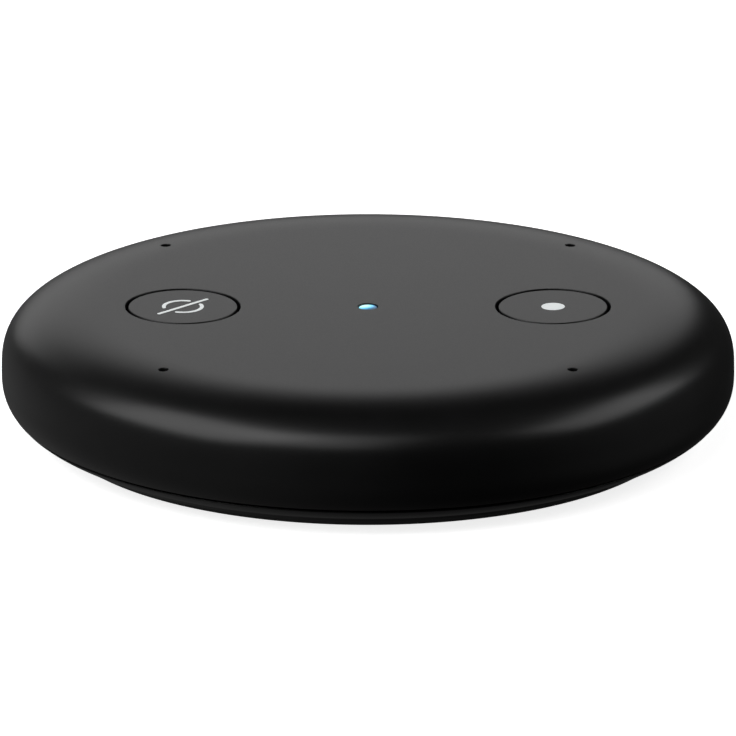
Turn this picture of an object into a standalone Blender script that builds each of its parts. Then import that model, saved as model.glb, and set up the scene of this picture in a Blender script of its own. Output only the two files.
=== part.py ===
"""A round, flat smart home hub, built as its separate pieces: shells, buttons, boards and sockets.

Run it with blender --background --python part.py, or from Blender's text editor.
The hub stands on z = 0 with its axis on Z. Its front faces -Y and its sockets face +Y.
"""

import math

import bmesh
import bpy

MM = 0.001

# --- Driving dimensions -------------------------------------------------------------------
BODY_RADIUS = 40.0 * MM
BODY_HEIGHT = 14.0 * MM
BAND_TOP_Z = 7.4 * MM  # the widest part of the side is a narrow upright band
BAND_LOW_Z = 6.6 * MM
TOP_WALL = 1.8 * MM
SIDE_WALL = 2.5 * MM

# The crown runs from the flat top to the upright band as a squared-off ellipse.
FLAT_RADIUS = 28.0 * MM
CROWN_POWER = 2.8
# Below the band the side tucks in along another one.
TUCK_RADIUS = 28.0 * MM
TUCK_DROP = 6.25 * MM
TUCK_POWER = 2.5

SEAM_Z = 3.0 * MM  # top of the bottom cover's rim
SEAM_GAP = 0.3 * MM
SEAT = 0.15 * MM  # free space under a piece that rests on another

FOOT_RADIUS = 34.6 * MM
FOOT_BASE_RADIUS = 33.9 * MM
FOOT_THICKNESS = 1.2 * MM
TAPE_THICKNESS = 0.2 * MM

UNDERSIDE_Z = 0.9 * MM
FLOOR_LOW_Z = 1.6 * MM
FLOOR_TOP_Z = 2.7 * MM
TONGUE_TOP_Z = 4.8 * MM
TONGUE_GAP = 0.4 * MM
TONGUE_WALL = 0.8 * MM
TONGUE_GAP_HALF_ANGLE = math.radians(20.5)  # the tongue stops behind the sockets

BUTTON_X = 20.2 * MM
BUTTON_RADIUS = 5.95 * MM
BUTTON_GAP = 0.35 * MM
BUTTON_TRAVEL = 0.3 * MM

MIC_OFFSET = 22.2 * MM  # the four sound holes stand on a square
SOUND_HOLE_RADIUS = 0.55 * MM
LIGHT_HOLE_RADIUS = 1.12 * MM
LIGHT_PIPE_RADIUS = 1.0 * MM

POST_CIRCLE = 32.4 * MM  # case screws
POST_ANGLES = [math.radians(a) for a in (22, 158, 202, 338)]

PORT_X = 7.5 * MM  # the charging socket is at -X and the audio socket at +X
PORT_Z = 7.4 * MM
POCKET_FLOOR_Y = 36.9 * MM
PORT_WALL_Y = 35.2 * MM
AUDIO_POCKET_RADIUS = 3.5 * MM
AUDIO_MOUTH_RADIUS = 2.9 * MM
AUDIO_NOSE_RADIUS = 2.75 * MM

PLATE_RADIUS = 33.5 * MM
PLATE_TOP_Z = 4.3 * MM
PLATE_PIN_SPOTS = [(0.0, -25.0 * MM), (-24.0 * MM, 14.0 * MM), (24.0 * MM, 14.0 * MM)]
MAIN_BOARD_Z = 6.25 * MM
BOARD_THICKNESS = 0.8 * MM
MAIN_BOARD_RADIUS = 35.8 * MM
UPPER_BOARD_Z = 10.0 * MM
UPPER_BOARD_RADIUS = 33.0 * MM
UPPER_SCREW_SPOTS = [(0.0, 27.0 * MM), (-14.0 * MM, -27.0 * MM), (14.0 * MM, -27.0 * MM)]

SHELL_SIDES = 64
ROUND_SIDES = 16

CEILING_Z = BODY_HEIGHT - TOP_WALL
INNER_RADIUS = BODY_RADIUS - SIDE_WALL
UPPER_BOARD_TOP = UPPER_BOARD_Z + BOARD_THICKNESS
MAIN_BOARD_TOP = MAIN_BOARD_Z + BOARD_THICKNESS
POST_SPOTS = [(POST_CIRCLE * math.cos(a), POST_CIRCLE * math.sin(a)) for a in POST_ANGLES]
MIC_SPOTS = {
    "front_left": (-MIC_OFFSET, -MIC_OFFSET),
    "front_right": (MIC_OFFSET, -MIC_OFFSET),
    "rear_left": (-MIC_OFFSET, MIC_OFFSET),
    "rear_right": (MIC_OFFSET, MIC_OFFSET),
}
BUTTON_SPOTS = {"mute": (-BUTTON_X, 0.0), "action": (BUTTON_X, 0.0)}


# --- Scene, materials and objects ---------------------------------------------------------
def clear_scene():
    for obj in list(bpy.data.objects):
        bpy.data.objects.remove(obj, do_unlink=True)


def material(name, colour, roughness, metallic=0.0):
    made = bpy.data.materials.new(name)
    made.use_nodes = True
    shader = made.node_tree.nodes["Principled BSDF"]
    shader.inputs["Base Color"].default_value = (*colour, 1.0)
    shader.inputs["Roughness"].default_value = roughness
    shader.inputs["Metallic"].default_value = metallic
    return made


def mesh_from(name, builders):
    """A mesh holding what each builder adds to it, with all faces pointing outwards."""
    bm = bmesh.new()
    for build in builders:
        build(bm)
    bmesh.ops.recalc_face_normals(bm, faces=bm.faces[:])
    mesh = bpy.data.meshes.new(name)
    bm.to_mesh(mesh)
    bm.free()
    mesh.shade_smooth()
    mesh.set_sharp_from_angle(angle=math.radians(32))
    return mesh


def place(name, mesh, finish, spot=(0.0, 0.0), turn=0.0, parent=None):
    """A named piece at a spot on the plan, turned about Z."""
    obj = bpy.data.objects.new(name, mesh)
    if finish.name not in mesh.materials:
        mesh.materials.append(finish)
    obj.location = (spot[0], spot[1], 0.0)
    obj.rotation_euler = (0.0, 0.0, turn)
    bpy.context.scene.collection.objects.link(obj)
    if parent is not None:
        obj.parent = parent
        obj.location = (0.0, 0.0, 0.0)
    return obj


def piece(name, finish, builders, **where):
    return place(name, mesh_from(name, builders), finish, **where)


def helper(name, builders):
    """A solid used only by Booleans: it is drawn as wire and never rendered."""
    obj = bpy.data.objects.new(name, mesh_from(name, builders))
    obj.hide_render = True
    obj.display_type = "WIRE"
    bpy.context.scene.collection.objects.link(obj)
    return obj


def boolean(obj, other, operation):
    modifier = obj.modifiers.new(other.name, "BOOLEAN")
    modifier.operation = operation
    modifier.object = other
    modifier.solver = "EXACT"


def cut(obj, name, builders):
    boolean(obj, helper(name, builders), "DIFFERENCE")


def fuse(obj, name, builders):
    boolean(obj, helper(name, builders), "UNION")


def axis_at(name, spot):
    """An empty on a button's line of travel."""
    empty = bpy.data.objects.new(name, None)
    empty.location = (spot[0], spot[1], 0.0)
    empty.empty_display_size = 5 * MM
    bpy.context.scene.collection.objects.link(empty)
    return empty


# --- Shape builders: each returns a function that adds its shape to a bmesh ----------------
def moved(bm, verts, spot):
    bmesh.ops.translate(bm, verts=verts, vec=(spot[0], spot[1], 0.0))


def turned(outline, sides=ROUND_SIDES, spot=(0.0, 0.0), ring=False):
    """Spins (radius, height) points about Z. A ring's outline closes on itself."""

    def build(bm):
        first = len(bm.verts)
        points = [p for p in outline if p[0] > 0.0]
        verts = [bm.verts.new((radius, 0.0, height)) for radius, height in points]
        edges = [bm.edges.new(pair) for pair in zip(verts, verts[1:])]
        if ring:
            edges.append(bm.edges.new((verts[-1], verts[0])))
        bmesh.ops.spin(
            bm, geom=verts + edges, cent=(0, 0, 0), axis=(0, 0, 1),
            angle=2 * math.pi, steps=sides, use_merge=True,
        )
        bm.verts.ensure_lookup_table()
        new_verts = bm.verts[first:]
        if not ring:
            rims = {e for v in new_verts for e in v.link_edges if e.is_boundary}
            bmesh.ops.holes_fill(bm, edges=list(rims), sides=0)
        moved(bm, new_verts, spot)

    return build


def rod(radius, low, high, spot=(0.0, 0.0), sides=ROUND_SIDES):
    return turned([(radius, low), (radius, high)], sides, spot)


def tube(inner, outer, low, high, spot=(0.0, 0.0), sides=ROUND_SIDES):
    outline = [(inner, low), (outer, low), (outer, high), (inner, high)]
    return turned(outline, sides, spot, ring=True)


def prism(outline, low, high, along="Z"):
    """Extrudes a flat outline. Along Y, its points are (x, z) and low and high are y values."""

    def lifted(point, height):
        return (point[0], height, point[1]) if along == "Y" else (point[0], point[1], height)

    def build(bm):
        face = bm.faces.new([bm.verts.new(lifted(p, low)) for p in outline])
        made = bmesh.ops.extrude_face_region(bm, geom=[face])
        top = [v for v in made["geom"] if isinstance(v, bmesh.types.BMVert)]
        way = (0.0, high - low, 0.0) if along == "Y" else (0.0, 0.0, high - low)
        bmesh.ops.translate(bm, verts=top, vec=way)

    return build


def block(x, y, z):
    """A box between pairs of coordinates."""
    outline = [(x[0], y[0]), (x[1], y[0]), (x[1], y[1]), (x[0], y[1])]
    return prism(outline, z[0], z[1])


def block_at(spot, width, depth, low, high):
    half_w, half_d = width / 2, depth / 2
    return block(
        (spot[0] - half_w, spot[0] + half_w), (spot[1] - half_d, spot[1] + half_d), (low, high)
    )


def arc(radius, start, end, steps, centre=(0.0, 0.0)):
    angles = [start + (end - start) * i / steps for i in range(steps + 1)]
    return [(centre[0] + radius * math.cos(a), centre[1] + radius * math.sin(a)) for a in angles]


def arc_band(inner, outer, start, end, steps, centre=(0.0, 0.0)):
    """The outline of a part of a ring."""
    return arc(outer, start, end, steps, centre) + arc(inner, end, start, steps, centre)


def rounded_rectangle(centre, width, height, radius, steps=5):
    points = []
    for quarter, (sx, sy) in enumerate([(1, 1), (-1, 1), (-1, -1), (1, -1)]):
        corner = (
            centre[0] + sx * (width / 2 - radius),
            centre[1] + sy * (height / 2 - radius),
        )
        start = quarter * math.pi / 2
        points += arc(radius, start, start + math.pi / 2, steps, corner)
    return points


def pan_screw(head_radius, head_height, shaft_radius, shaft_length, head_low):
    """A pan-head screw standing on its head, with a drive recess in its face."""
    shoulder = head_low + head_height
    tip = shoulder + shaft_length
    round_edge = 0.3 * head_height
    drive_radius = 0.42 * head_radius
    drive_depth = 0.6 * head_height

    def build(bm):
        outline = [
            (head_radius - round_edge, head_low),
            (head_radius, head_low + round_edge),
            (head_radius, shoulder),
            (shaft_radius, shoulder),
            (shaft_radius, tip - shaft_radius / 2),
            (shaft_radius / 2, tip),
        ]
        turned(outline, 12)(bm)
        face = min(bm.faces, key=lambda f: f.calc_center_median().z)
        bmesh.ops.inset_region(bm, faces=[face], thickness=0.1 * head_radius)
        for vert in face.verts:
            angle = math.atan2(vert.co.y, vert.co.x)
            vert.co.x = drive_radius * math.cos(angle)
            vert.co.y = drive_radius * math.sin(angle)
        made = bmesh.ops.extrude_face_region(bm, geom=[face])
        bottom = [v for v in made["geom"] if isinstance(v, bmesh.types.BMVert)]
        bmesh.ops.translate(bm, verts=bottom, vec=(0.0, 0.0, drive_depth))
        bmesh.ops.delete(bm, geom=[face], context="FACES_ONLY")

    return build


# --- Outer curves -------------------------------------------------------------------------
def squared_ellipse(reach, rise, power, steps):
    """Points of a quarter of a squared-off ellipse, from (0, rise) to (reach, 0)."""
    points = []
    for i in range(steps + 1):
        angle = math.pi / 2 * i / steps
        across = math.sin(angle) ** (2 / power) if i else 0.0
        up = math.cos(angle) ** (2 / power) if i < steps else 0.0
        points.append((reach * across, rise * up))
    return points


def crown(radius, height, steps):
    """(radius, height) points from the flat top's edge down to the upright band."""
    curve = squared_ellipse(radius - FLAT_RADIUS, height - BAND_TOP_Z, CROWN_POWER, steps)
    return [(FLAT_RADIUS + across, BAND_TOP_Z + up) for across, up in curve]


def tuck_radius(height):
    """The side's radius at a height below the upright band."""
    drop = (BAND_LOW_Z - height) / TUCK_DROP
    return TUCK_RADIUS + (BODY_RADIUS - TUCK_RADIUS) * (1 - drop**TUCK_POWER) ** (1 / TUCK_POWER)


def tuck(high, low, steps):
    """(radius, height) points down the tucked-in side."""
    heights = [high + (low - high) * i / steps for i in range(steps + 1)]
    return [(tuck_radius(z), z) for z in heights]


# --- Casing -------------------------------------------------------------------------------
def make_top_cover(finish):
    """The upper shell: one moulding with screw bosses, collars and a flat wall for the sockets."""
    lower_edge = SEAM_Z + SEAM_GAP
    skin = crown(BODY_RADIUS, BODY_HEIGHT, 9) + tuck(BAND_LOW_Z, lower_edge, 4)
    cover = piece("top_cover", finish, [turned(skin, SHELL_SIDES)])

    cavity_low = lower_edge - 1 * MM
    hollow = crown(INNER_RADIUS, CEILING_Z, 6) + [(INNER_RADIUS, cavity_low)]
    cavity = helper("cover_cavity", [turned(hollow, SHELL_SIDES)])
    boss_low = MAIN_BOARD_TOP + SEAT
    above_ceiling = CEILING_Z + 0.5 * MM
    collar_low = 11.1 * MM
    kept = [rod(2.6 * MM, boss_low, above_ceiling, spot) for spot in POST_SPOTS]
    upper_boss_low = UPPER_BOARD_TOP + SEAT
    kept += [rod(1.9 * MM, upper_boss_low, above_ceiling, spot) for spot in UPPER_SCREW_SPOTS]
    kept += [rod(3.1 * MM, collar_low, above_ceiling, spot) for spot in MIC_SPOTS.values()]
    kept.append(tube(2.1 * MM, 2.7 * MM, collar_low, above_ceiling))
    for spot in BUTTON_SPOTS.values():
        slot = math.radians(9)
        start, end = math.pi / 2 + slot, math.pi * 5 / 2 - slot
        band = arc_band(7.6 * MM, 8.6 * MM, start, end, ROUND_SIDES, spot)
        kept.append(prism(band, collar_low, above_ceiling))
    wall_half = 13 * MM
    kept.append(
        block((-wall_half, wall_half), (PORT_WALL_Y, BODY_RADIUS), (cavity_low - MM, above_ceiling))
    )
    boolean(cavity, helper("cover_bosses", kept), "DIFFERENCE")
    boolean(cover, cavity, "DIFFERENCE")

    through_low, through_high = CEILING_Z - 0.4 * MM, BODY_HEIGHT + MM
    hole = BUTTON_RADIUS + BUTTON_GAP
    holes = [rod(hole, through_low, through_high, s, 40) for s in BUTTON_SPOTS.values()]
    holes += [
        rod(SOUND_HOLE_RADIUS, through_low, through_high, s, 12) for s in MIC_SPOTS.values()
    ]
    holes.append(rod(LIGHT_HOLE_RADIUS, through_low, through_high))
    holes += [rod(1.05 * MM, boss_low - MM, 10.8 * MM, spot, 12) for spot in POST_SPOTS]
    holes += [
        rod(0.7 * MM, upper_boss_low - MM, 13.0 * MM, spot, 12) for spot in UPPER_SCREW_SPOTS
    ]
    cut(cover, "cover_holes", holes)
    seat_top = CEILING_Z + 0.05 * MM
    seats = [rod(2.5 * MM, collar_low - MM, seat_top, spot) for spot in MIC_SPOTS.values()]
    cut(cover, "mic_seats", seats)

    outside = BODY_RADIUS + 2 * MM
    charge_pocket = rounded_rectangle((-PORT_X, PORT_Z), 11.2 * MM, 6.8 * MM, 2.2 * MM)
    around = 2 * math.pi * 23 / 24
    audio_pocket = arc(AUDIO_POCKET_RADIUS, 0, around, 23, (PORT_X, PORT_Z))
    cut(cover, "port_pockets", [
        prism(charge_pocket, POCKET_FLOOR_Y, outside, "Y"),
        prism(audio_pocket, POCKET_FLOOR_Y, outside, "Y"),
    ])
    charge_mouth = rounded_rectangle((-PORT_X, PORT_Z), 8.2 * MM, 3.2 * MM, 0.8 * MM, 3)
    audio_mouth = arc(AUDIO_MOUTH_RADIUS, 0, around, 23, (PORT_X, PORT_Z))
    inside = PORT_WALL_Y - 2 * MM
    cut(cover, "port_mouths", [
        prism(charge_mouth, inside, outside - MM, "Y"),
        prism(audio_mouth, inside, outside - MM, "Y"),
    ])


def make_bottom_cover(finish):
    """The lower shell: a dished floor, a tongue inside the upper shell, and the screw posts."""
    rim = SEAM_Z
    corner_z = 1.3 * MM
    foot_well = FOOT_RADIUS + 0.3 * MM
    tongue_out = INNER_RADIUS - TONGUE_GAP
    tongue_in = tongue_out - TONGUE_WALL
    outline = [(foot_well, FLOOR_LOW_Z), (foot_well, UNDERSIDE_Z), (35.4 * MM, UNDERSIDE_Z)]
    outline += reversed(tuck(rim, corner_z, 4))
    outline += [
        (tongue_out, rim), (tongue_out, TONGUE_TOP_Z - 0.3 * MM),
        (tongue_out - 0.3 * MM, TONGUE_TOP_Z), (tongue_in, TONGUE_TOP_Z), (tongue_in, FLOOR_TOP_Z),
    ]
    cover = piece("bottom_cover", finish, [turned(outline, SHELL_SIDES)])

    embedded = FLOOR_TOP_Z - 0.6 * MM
    post_top = MAIN_BOARD_Z - SEAT
    added = [rod(3.0 * MM, embedded, post_top, spot) for spot in POST_SPOTS]
    added += [rod(1.2 * MM, embedded, 4.1 * MM, spot, 16) for spot in PLATE_PIN_SPOTS]
    fuse(cover, "floor_posts", added)

    start = math.pi / 2 - TONGUE_GAP_HALF_ANGLE
    end = math.pi / 2 + TONGUE_GAP_HALF_ANGLE
    gap = arc_band(tongue_in - 0.4 * MM, tongue_out + 0.2 * MM, start, end, 10)
    cut(cover, "tongue_gap", [prism(gap, rim - 0.05 * MM, TONGUE_TOP_Z + MM)])

    below = FLOOR_LOW_Z - MM
    step_z, above = 3.2 * MM, post_top + MM
    stepped = [(2.2 * MM, below), (2.2 * MM, step_z), (1.15 * MM, step_z), (1.15 * MM, above)]
    cut(cover, "screw_ways", [turned(stepped, spot=spot) for spot in POST_SPOTS])


def make_foot(rubber, tape):
    """The rubber disc that the hub stands on, taped over the screw heads."""
    outline = [
        (FOOT_BASE_RADIUS, 0.0), (34.35 * MM, 0.2 * MM), (FOOT_RADIUS, 0.65 * MM),
        (FOOT_RADIUS, FOOT_THICKNESS),
    ]
    piece("rubber_foot", rubber, [turned(outline, SHELL_SIDES)])
    tape_low = FOOT_THICKNESS + 0.1 * MM
    tape_radius = FOOT_RADIUS - 0.3 * MM
    disc = rod(tape_radius, tape_low, tape_low + TAPE_THICKNESS, sides=SHELL_SIDES)
    piece("foot_tape", tape, [disc])


def make_case_screws(steel):
    mesh = mesh_from("case_screw", [pan_screw(1.9 * MM, 1.0 * MM, 0.95 * MM, 7.1 * MM, 2.1 * MM)])
    for number, spot in enumerate(POST_SPOTS, 1):
        place(f"case_screw_{number}", mesh, steel, spot)


# --- Buttons ------------------------------------------------------------------------------
def make_button(kind, spot, plastic, switch_plastic, steel):
    """A flush cap that travels down on Z and presses the plunger of its own switch."""
    axis = axis_at(f"{kind}_button_axis", spot)
    flange_low, flange_top, flange_radius = 11.4 * MM, 11.9 * MM, 7.2 * MM
    stem_low, roof = 12.15 * MM, 12.9 * MM
    edge = 0.12 * MM
    outline = [
        (1.1 * MM, stem_low), (1.1 * MM, roof), (4.6 * MM, roof), (4.6 * MM, flange_low),
        (flange_radius, flange_low), (flange_radius, flange_top), (BUTTON_RADIUS, flange_top),
        (BUTTON_RADIUS, BODY_HEIGHT - edge), (BUTTON_RADIUS - edge, BODY_HEIGHT),
    ]
    cap = piece(f"{kind}_button_cap", plastic, [turned(outline, 40)], parent=axis)
    ear = helper(
        f"{kind}_cap_ear",
        [block((-MM, MM), (6.8 * MM, 8.3 * MM), (flange_low + 0.02 * MM, flange_top - 0.02 * MM))],
    )
    ear.location = (spot[0], spot[1], 0.0)
    boolean(cap, ear, "UNION")

    base_low, base_top = UPPER_BOARD_TOP + 0.1 * MM, 11.5 * MM
    size = 4.6 * MM
    base = piece(
        f"{kind}_switch_base", switch_plastic, [block_at((0, 0), size, size, base_low, base_top)],
        spot=spot,
    )
    well = helper(f"{kind}_switch_well", [rod(1.6 * MM, 11.05 * MM, base_top + MM)])
    well.location = (spot[0], spot[1], 0.0)
    boolean(base, well, "DIFFERENCE")
    frame = piece(
        f"{kind}_switch_frame", steel, [block_at((0, 0), size, size, 11.58 * MM, 11.73 * MM)],
        spot=spot,
    )
    eye = helper(f"{kind}_switch_eye", [rod(1.25 * MM, 11 * MM, 12 * MM)])
    eye.location = (spot[0], spot[1], 0.0)
    boolean(frame, eye, "DIFFERENCE")
    plunger_low = 11.05 * MM + BUTTON_TRAVEL + 0.05 * MM
    plunger = [
        (1.45 * MM, plunger_low), (1.45 * MM, plunger_low + 0.1 * MM),
        (1.05 * MM, plunger_low + 0.1 * MM), (1.05 * MM, 11.9 * MM), (0.95 * MM, 12.0 * MM),
    ]
    piece(f"{kind}_switch_plunger", switch_plastic, [turned(plunger)], parent=axis)


# --- Light and microphones ----------------------------------------------------------------
def make_light(clear_plastic, foam, led_white):
    outline = [
        (1.2 * MM, 11.65 * MM), (1.2 * MM, 11.85 * MM), (1.7 * MM, 11.85 * MM),
        (1.7 * MM, 12.05 * MM), (LIGHT_PIPE_RADIUS, 12.05 * MM), (LIGHT_PIPE_RADIUS, 13.86 * MM),
        (0.9 * MM, 13.92 * MM), (0.5 * MM, 13.97 * MM),
    ]
    piece("light_pipe", clear_plastic, [turned(outline)])
    low = UPPER_BOARD_TOP + 0.1 * MM
    piece("light_gasket", foam, [tube(1.4 * MM, 2.0 * MM, low, 11.75 * MM)])
    piece("status_led", led_white, [block_at((0, 0), 1.6 * MM, 1.6 * MM, low, low + 0.6 * MM)])


def make_microphones(metal, foam, cloth):
    """Each microphone hangs under the upper board and hears through a gasket and a cloth disc."""
    can_top = UPPER_BOARD_Z - SEAT
    can = mesh_from("mic_can", [block_at((0, 0), 3.5 * MM, 2.65 * MM, can_top - MM, can_top)])
    gasket_low, gasket_top = UPPER_BOARD_TOP + 0.1 * MM, 11.85 * MM
    gasket = mesh_from("mic_gasket", [tube(0.7 * MM, 2.3 * MM, gasket_low, gasket_top)])
    screen_low = gasket_top + 0.07 * MM
    screen = mesh_from("mic_screen", [rod(2.2 * MM, screen_low, screen_low + 0.16 * MM)])
    for where, spot in MIC_SPOTS.items():
        place(f"mic_{where}", can, metal, spot)
        place(f"mic_gasket_{where}", gasket, foam, spot)
        place(f"mic_screen_{where}", screen, cloth, spot)


# --- Boards and what stands on them -------------------------------------------------------
def make_upper_board(laminate, steel, connector):
    """The board under the ceiling: microphones, switches and the light are on it."""
    high = UPPER_BOARD_TOP
    board = piece(
        "upper_board", laminate, [rod(UPPER_BOARD_RADIUS, UPPER_BOARD_Z, high, sides=SHELL_SIDES)]
    )
    low = UPPER_BOARD_Z - MM
    holes = [rod(3.0 * MM, low, high + MM, spot) for spot in POST_SPOTS]
    holes += [rod(0.5 * MM, low, high + MM, spot, 12) for spot in MIC_SPOTS.values()]
    holes += [rod(0.9 * MM, low, high + MM, spot, 12) for spot in UPPER_SCREW_SPOTS]
    cut(board, "upper_board_holes", holes)
    head_low = UPPER_BOARD_Z - 0.1 * MM - 0.8 * MM
    screw = mesh_from("board_screw", [pan_screw(1.5 * MM, 0.8 * MM, 0.6 * MM, 2.7 * MM, head_low)])
    for number, spot in enumerate(UPPER_SCREW_SPOTS, 1):
        place(f"board_screw_{number}", screw, steel, spot)

    spot = (0.0, -13.0 * MM)
    plug_top = UPPER_BOARD_Z - 0.1 * MM
    plug = piece("link_plug", connector, [block_at(spot, 11 * MM, 3 * MM, 8.7 * MM, plug_top)])
    fuse(plug, "link_plug_tongue", [block_at(spot, 8 * MM, 0.9 * MM, 7.8 * MM, 8.9 * MM)])
    socket_low = MAIN_BOARD_TOP + 0.1 * MM
    housing = block_at(spot, 11 * MM, 3 * MM, socket_low, 8.6 * MM)
    socket = piece("link_socket", connector, [housing])
    cut(socket, "link_socket_slot", [block_at(spot, 8.4 * MM, 1.3 * MM, 7.65 * MM, 9.6 * MM)])


def make_main_board(laminate):
    high = MAIN_BOARD_TOP
    board = piece(
        "main_board", laminate, [rod(MAIN_BOARD_RADIUS, MAIN_BOARD_Z, high, sides=SHELL_SIDES)]
    )
    low, over = MAIN_BOARD_Z - MM, high + MM
    rear = PORT_WALL_Y - 0.5 * MM
    cut(board, "main_board_rear", [block((-20 * MM, 20 * MM), (rear, 40 * MM), (low, over))])
    charge = block((-PORT_X - 4.1 * MM, -PORT_X + 4.1 * MM), (30.9 * MM, 41 * MM), (low, over))
    audio = block((PORT_X - 3.9 * MM, PORT_X + 3.9 * MM), (23.0 * MM, 41 * MM), (low, over))
    holes = [charge, audio] + [rod(1.3 * MM, low, over, spot, 12) for spot in POST_SPOTS]
    cut(board, "main_board_holes", holes)


def thin_can(name, finish, spot, width, depth, low, high, opening):
    """A drawn metal cover with one open side, towards its board."""
    wall = 0.2 * MM
    can = piece(name, finish, [block_at(spot, width, depth, low, high)])
    inner_low = low - MM if opening == "down" else low + wall
    inner_high = high - wall if opening == "down" else high + MM
    inner = block_at(spot, width - 2 * wall, depth - 2 * wall, inner_low, inner_high)
    cut(can, f"{name}_inside", [inner])


def make_circuit(shield_metal, chip_black, pad_grey, ferrite, antenna_metal):
    """Shields, chips and pads. The hot side of the main board faces the steel plate."""
    board_low = MAIN_BOARD_Z - 0.1 * MM
    thin_can(
        "processor_shield", shield_metal, (-7 * MM, -6 * MM), 28 * MM, 16 * MM,
        4.7 * MM, MAIN_BOARD_Z - SEAT, "up",
    )
    thin_can(
        "radio_shield", shield_metal, (-14 * MM, 9 * MM), 15 * MM, 12 * MM,
        MAIN_BOARD_TOP + SEAT, 8.8 * MM, "down",
    )
    chips = {
        "processor_chip": ((-13.5 * MM, -6 * MM), 12 * MM, 12 * MM),
        "memory_chip": ((0.2 * MM, -6 * MM), 10 * MM, 12 * MM),
        "power_chip": ((14 * MM, -8 * MM), 6 * MM, 6 * MM),
        "audio_chip": ((2 * MM, 16 * MM), 5 * MM, 5 * MM),
    }
    for name, (spot, width, depth) in chips.items():
        piece(name, chip_black, [block_at(spot, width, depth, board_low - 0.8 * MM, board_low)])
    radio_low = MAIN_BOARD_TOP + 0.1 * MM
    radio = block_at((-14 * MM, 9 * MM), 7 * MM, 7 * MM, radio_low, radio_low + 0.9 * MM)
    piece("radio_chip", chip_black, [radio])
    chip_pad = block_at((-13.5 * MM, -6 * MM), 11 * MM, 11 * MM, 4.95 * MM, 5.3 * MM)
    piece("chip_pad", pad_grey, [chip_pad])
    plate_pad = block_at((-7 * MM, -6 * MM), 24 * MM, 13 * MM, 4.36 * MM, 4.64 * MM)
    piece("plate_pad", pad_grey, [plate_pad])
    for number, x in enumerate((13 * MM, 19 * MM), 1):
        coil = rounded_rectangle((x, 2 * MM), 4 * MM, 4 * MM, 0.8 * MM, 3)
        piece(f"power_coil_{number}", ferrite, [prism(coil, board_low - 1.5 * MM, board_low)])
    make_antennas(antenna_metal, radio_low)


def make_antennas(metal, leg_low):
    """Two sheet strips that stand on three legs at the sides of the main board."""
    strip_low, strip_top = 8.0 * MM, 10.4 * MM
    outline = [
        (-7 * MM, leg_low), (-6 * MM, leg_low), (-6 * MM, strip_low), (-3 * MM, strip_low),
        (-3 * MM, leg_low), (-2 * MM, leg_low), (-2 * MM, strip_low), (7 * MM, strip_low),
        (7 * MM, strip_top), (-7 * MM, strip_top),
    ]
    for side, sign in (("left", -1), ("right", 1)):
        strip = prism(outline, 34.0 * MM, 34.3 * MM, "Y")
        antenna = piece(f"antenna_{side}", metal, [strip])
        antenna.rotation_euler = (0.0, 0.0, -sign * math.pi / 2)


def make_plate(steel):
    """A steel plate that gives the hub its weight and spreads the processor's heat."""
    low = FLOOR_TOP_Z + SEAT
    plate = piece("ballast_plate", steel, [rod(PLATE_RADIUS, low, PLATE_TOP_Z, sides=SHELL_SIDES)])
    holes = [rod(3.4 * MM, low - MM, PLATE_TOP_Z + MM, spot) for spot in POST_SPOTS]
    holes += [rod(1.5 * MM, low - MM, PLATE_TOP_Z + MM, spot, 16) for spot in PLATE_PIN_SPOTS]
    cut(plate, "plate_holes", holes)


# --- Sockets ------------------------------------------------------------------------------
def charge_outline(width, height, chamfer):
    """The charging socket's outline, narrower at its lower edge."""
    left, right = -PORT_X - width / 2, -PORT_X + width / 2
    low, high = PORT_Z - height / 2, PORT_Z + height / 2
    return [
        (left + chamfer, low), (right - chamfer, low), (right, low + chamfer),
        (right, high), (left, high), (left, low + chamfer),
    ]


def make_charge_socket(steel, plastic):
    mouth, back = POCKET_FLOOR_Y - 0.2 * MM, 31.3 * MM
    shell = piece("charge_socket_shell", steel, [
        prism(charge_outline(7.6 * MM, 2.6 * MM, 0.9 * MM), back, mouth, "Y")
    ])
    bore = charge_outline(7.0 * MM, 2.0 * MM, 0.77 * MM)
    cut(shell, "charge_socket_bore", [prism(bore, back - MM, mouth + MM, "Y")])
    base = charge_outline(6.7 * MM, 1.7 * MM, 0.66 * MM)
    core = piece("charge_socket_core", plastic, [prism(base, back + 0.2 * MM, 33.0 * MM, "Y")])
    tongue = block(
        (-PORT_X - 1.9 * MM, -PORT_X + 1.9 * MM), (32.6 * MM, mouth - 0.5 * MM),
        (PORT_Z - 0.1 * MM, PORT_Z + 0.5 * MM),
    )
    fuse(core, "charge_socket_tongue", [tongue])


def round_y(radius, low, high, sides=20):
    """A rod along Y on the audio socket's axis."""
    full = 2 * math.pi * (sides - 1) / sides
    return prism(arc(radius, 0, full, sides - 1, (PORT_X, PORT_Z)), low, high, "Y")


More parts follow.
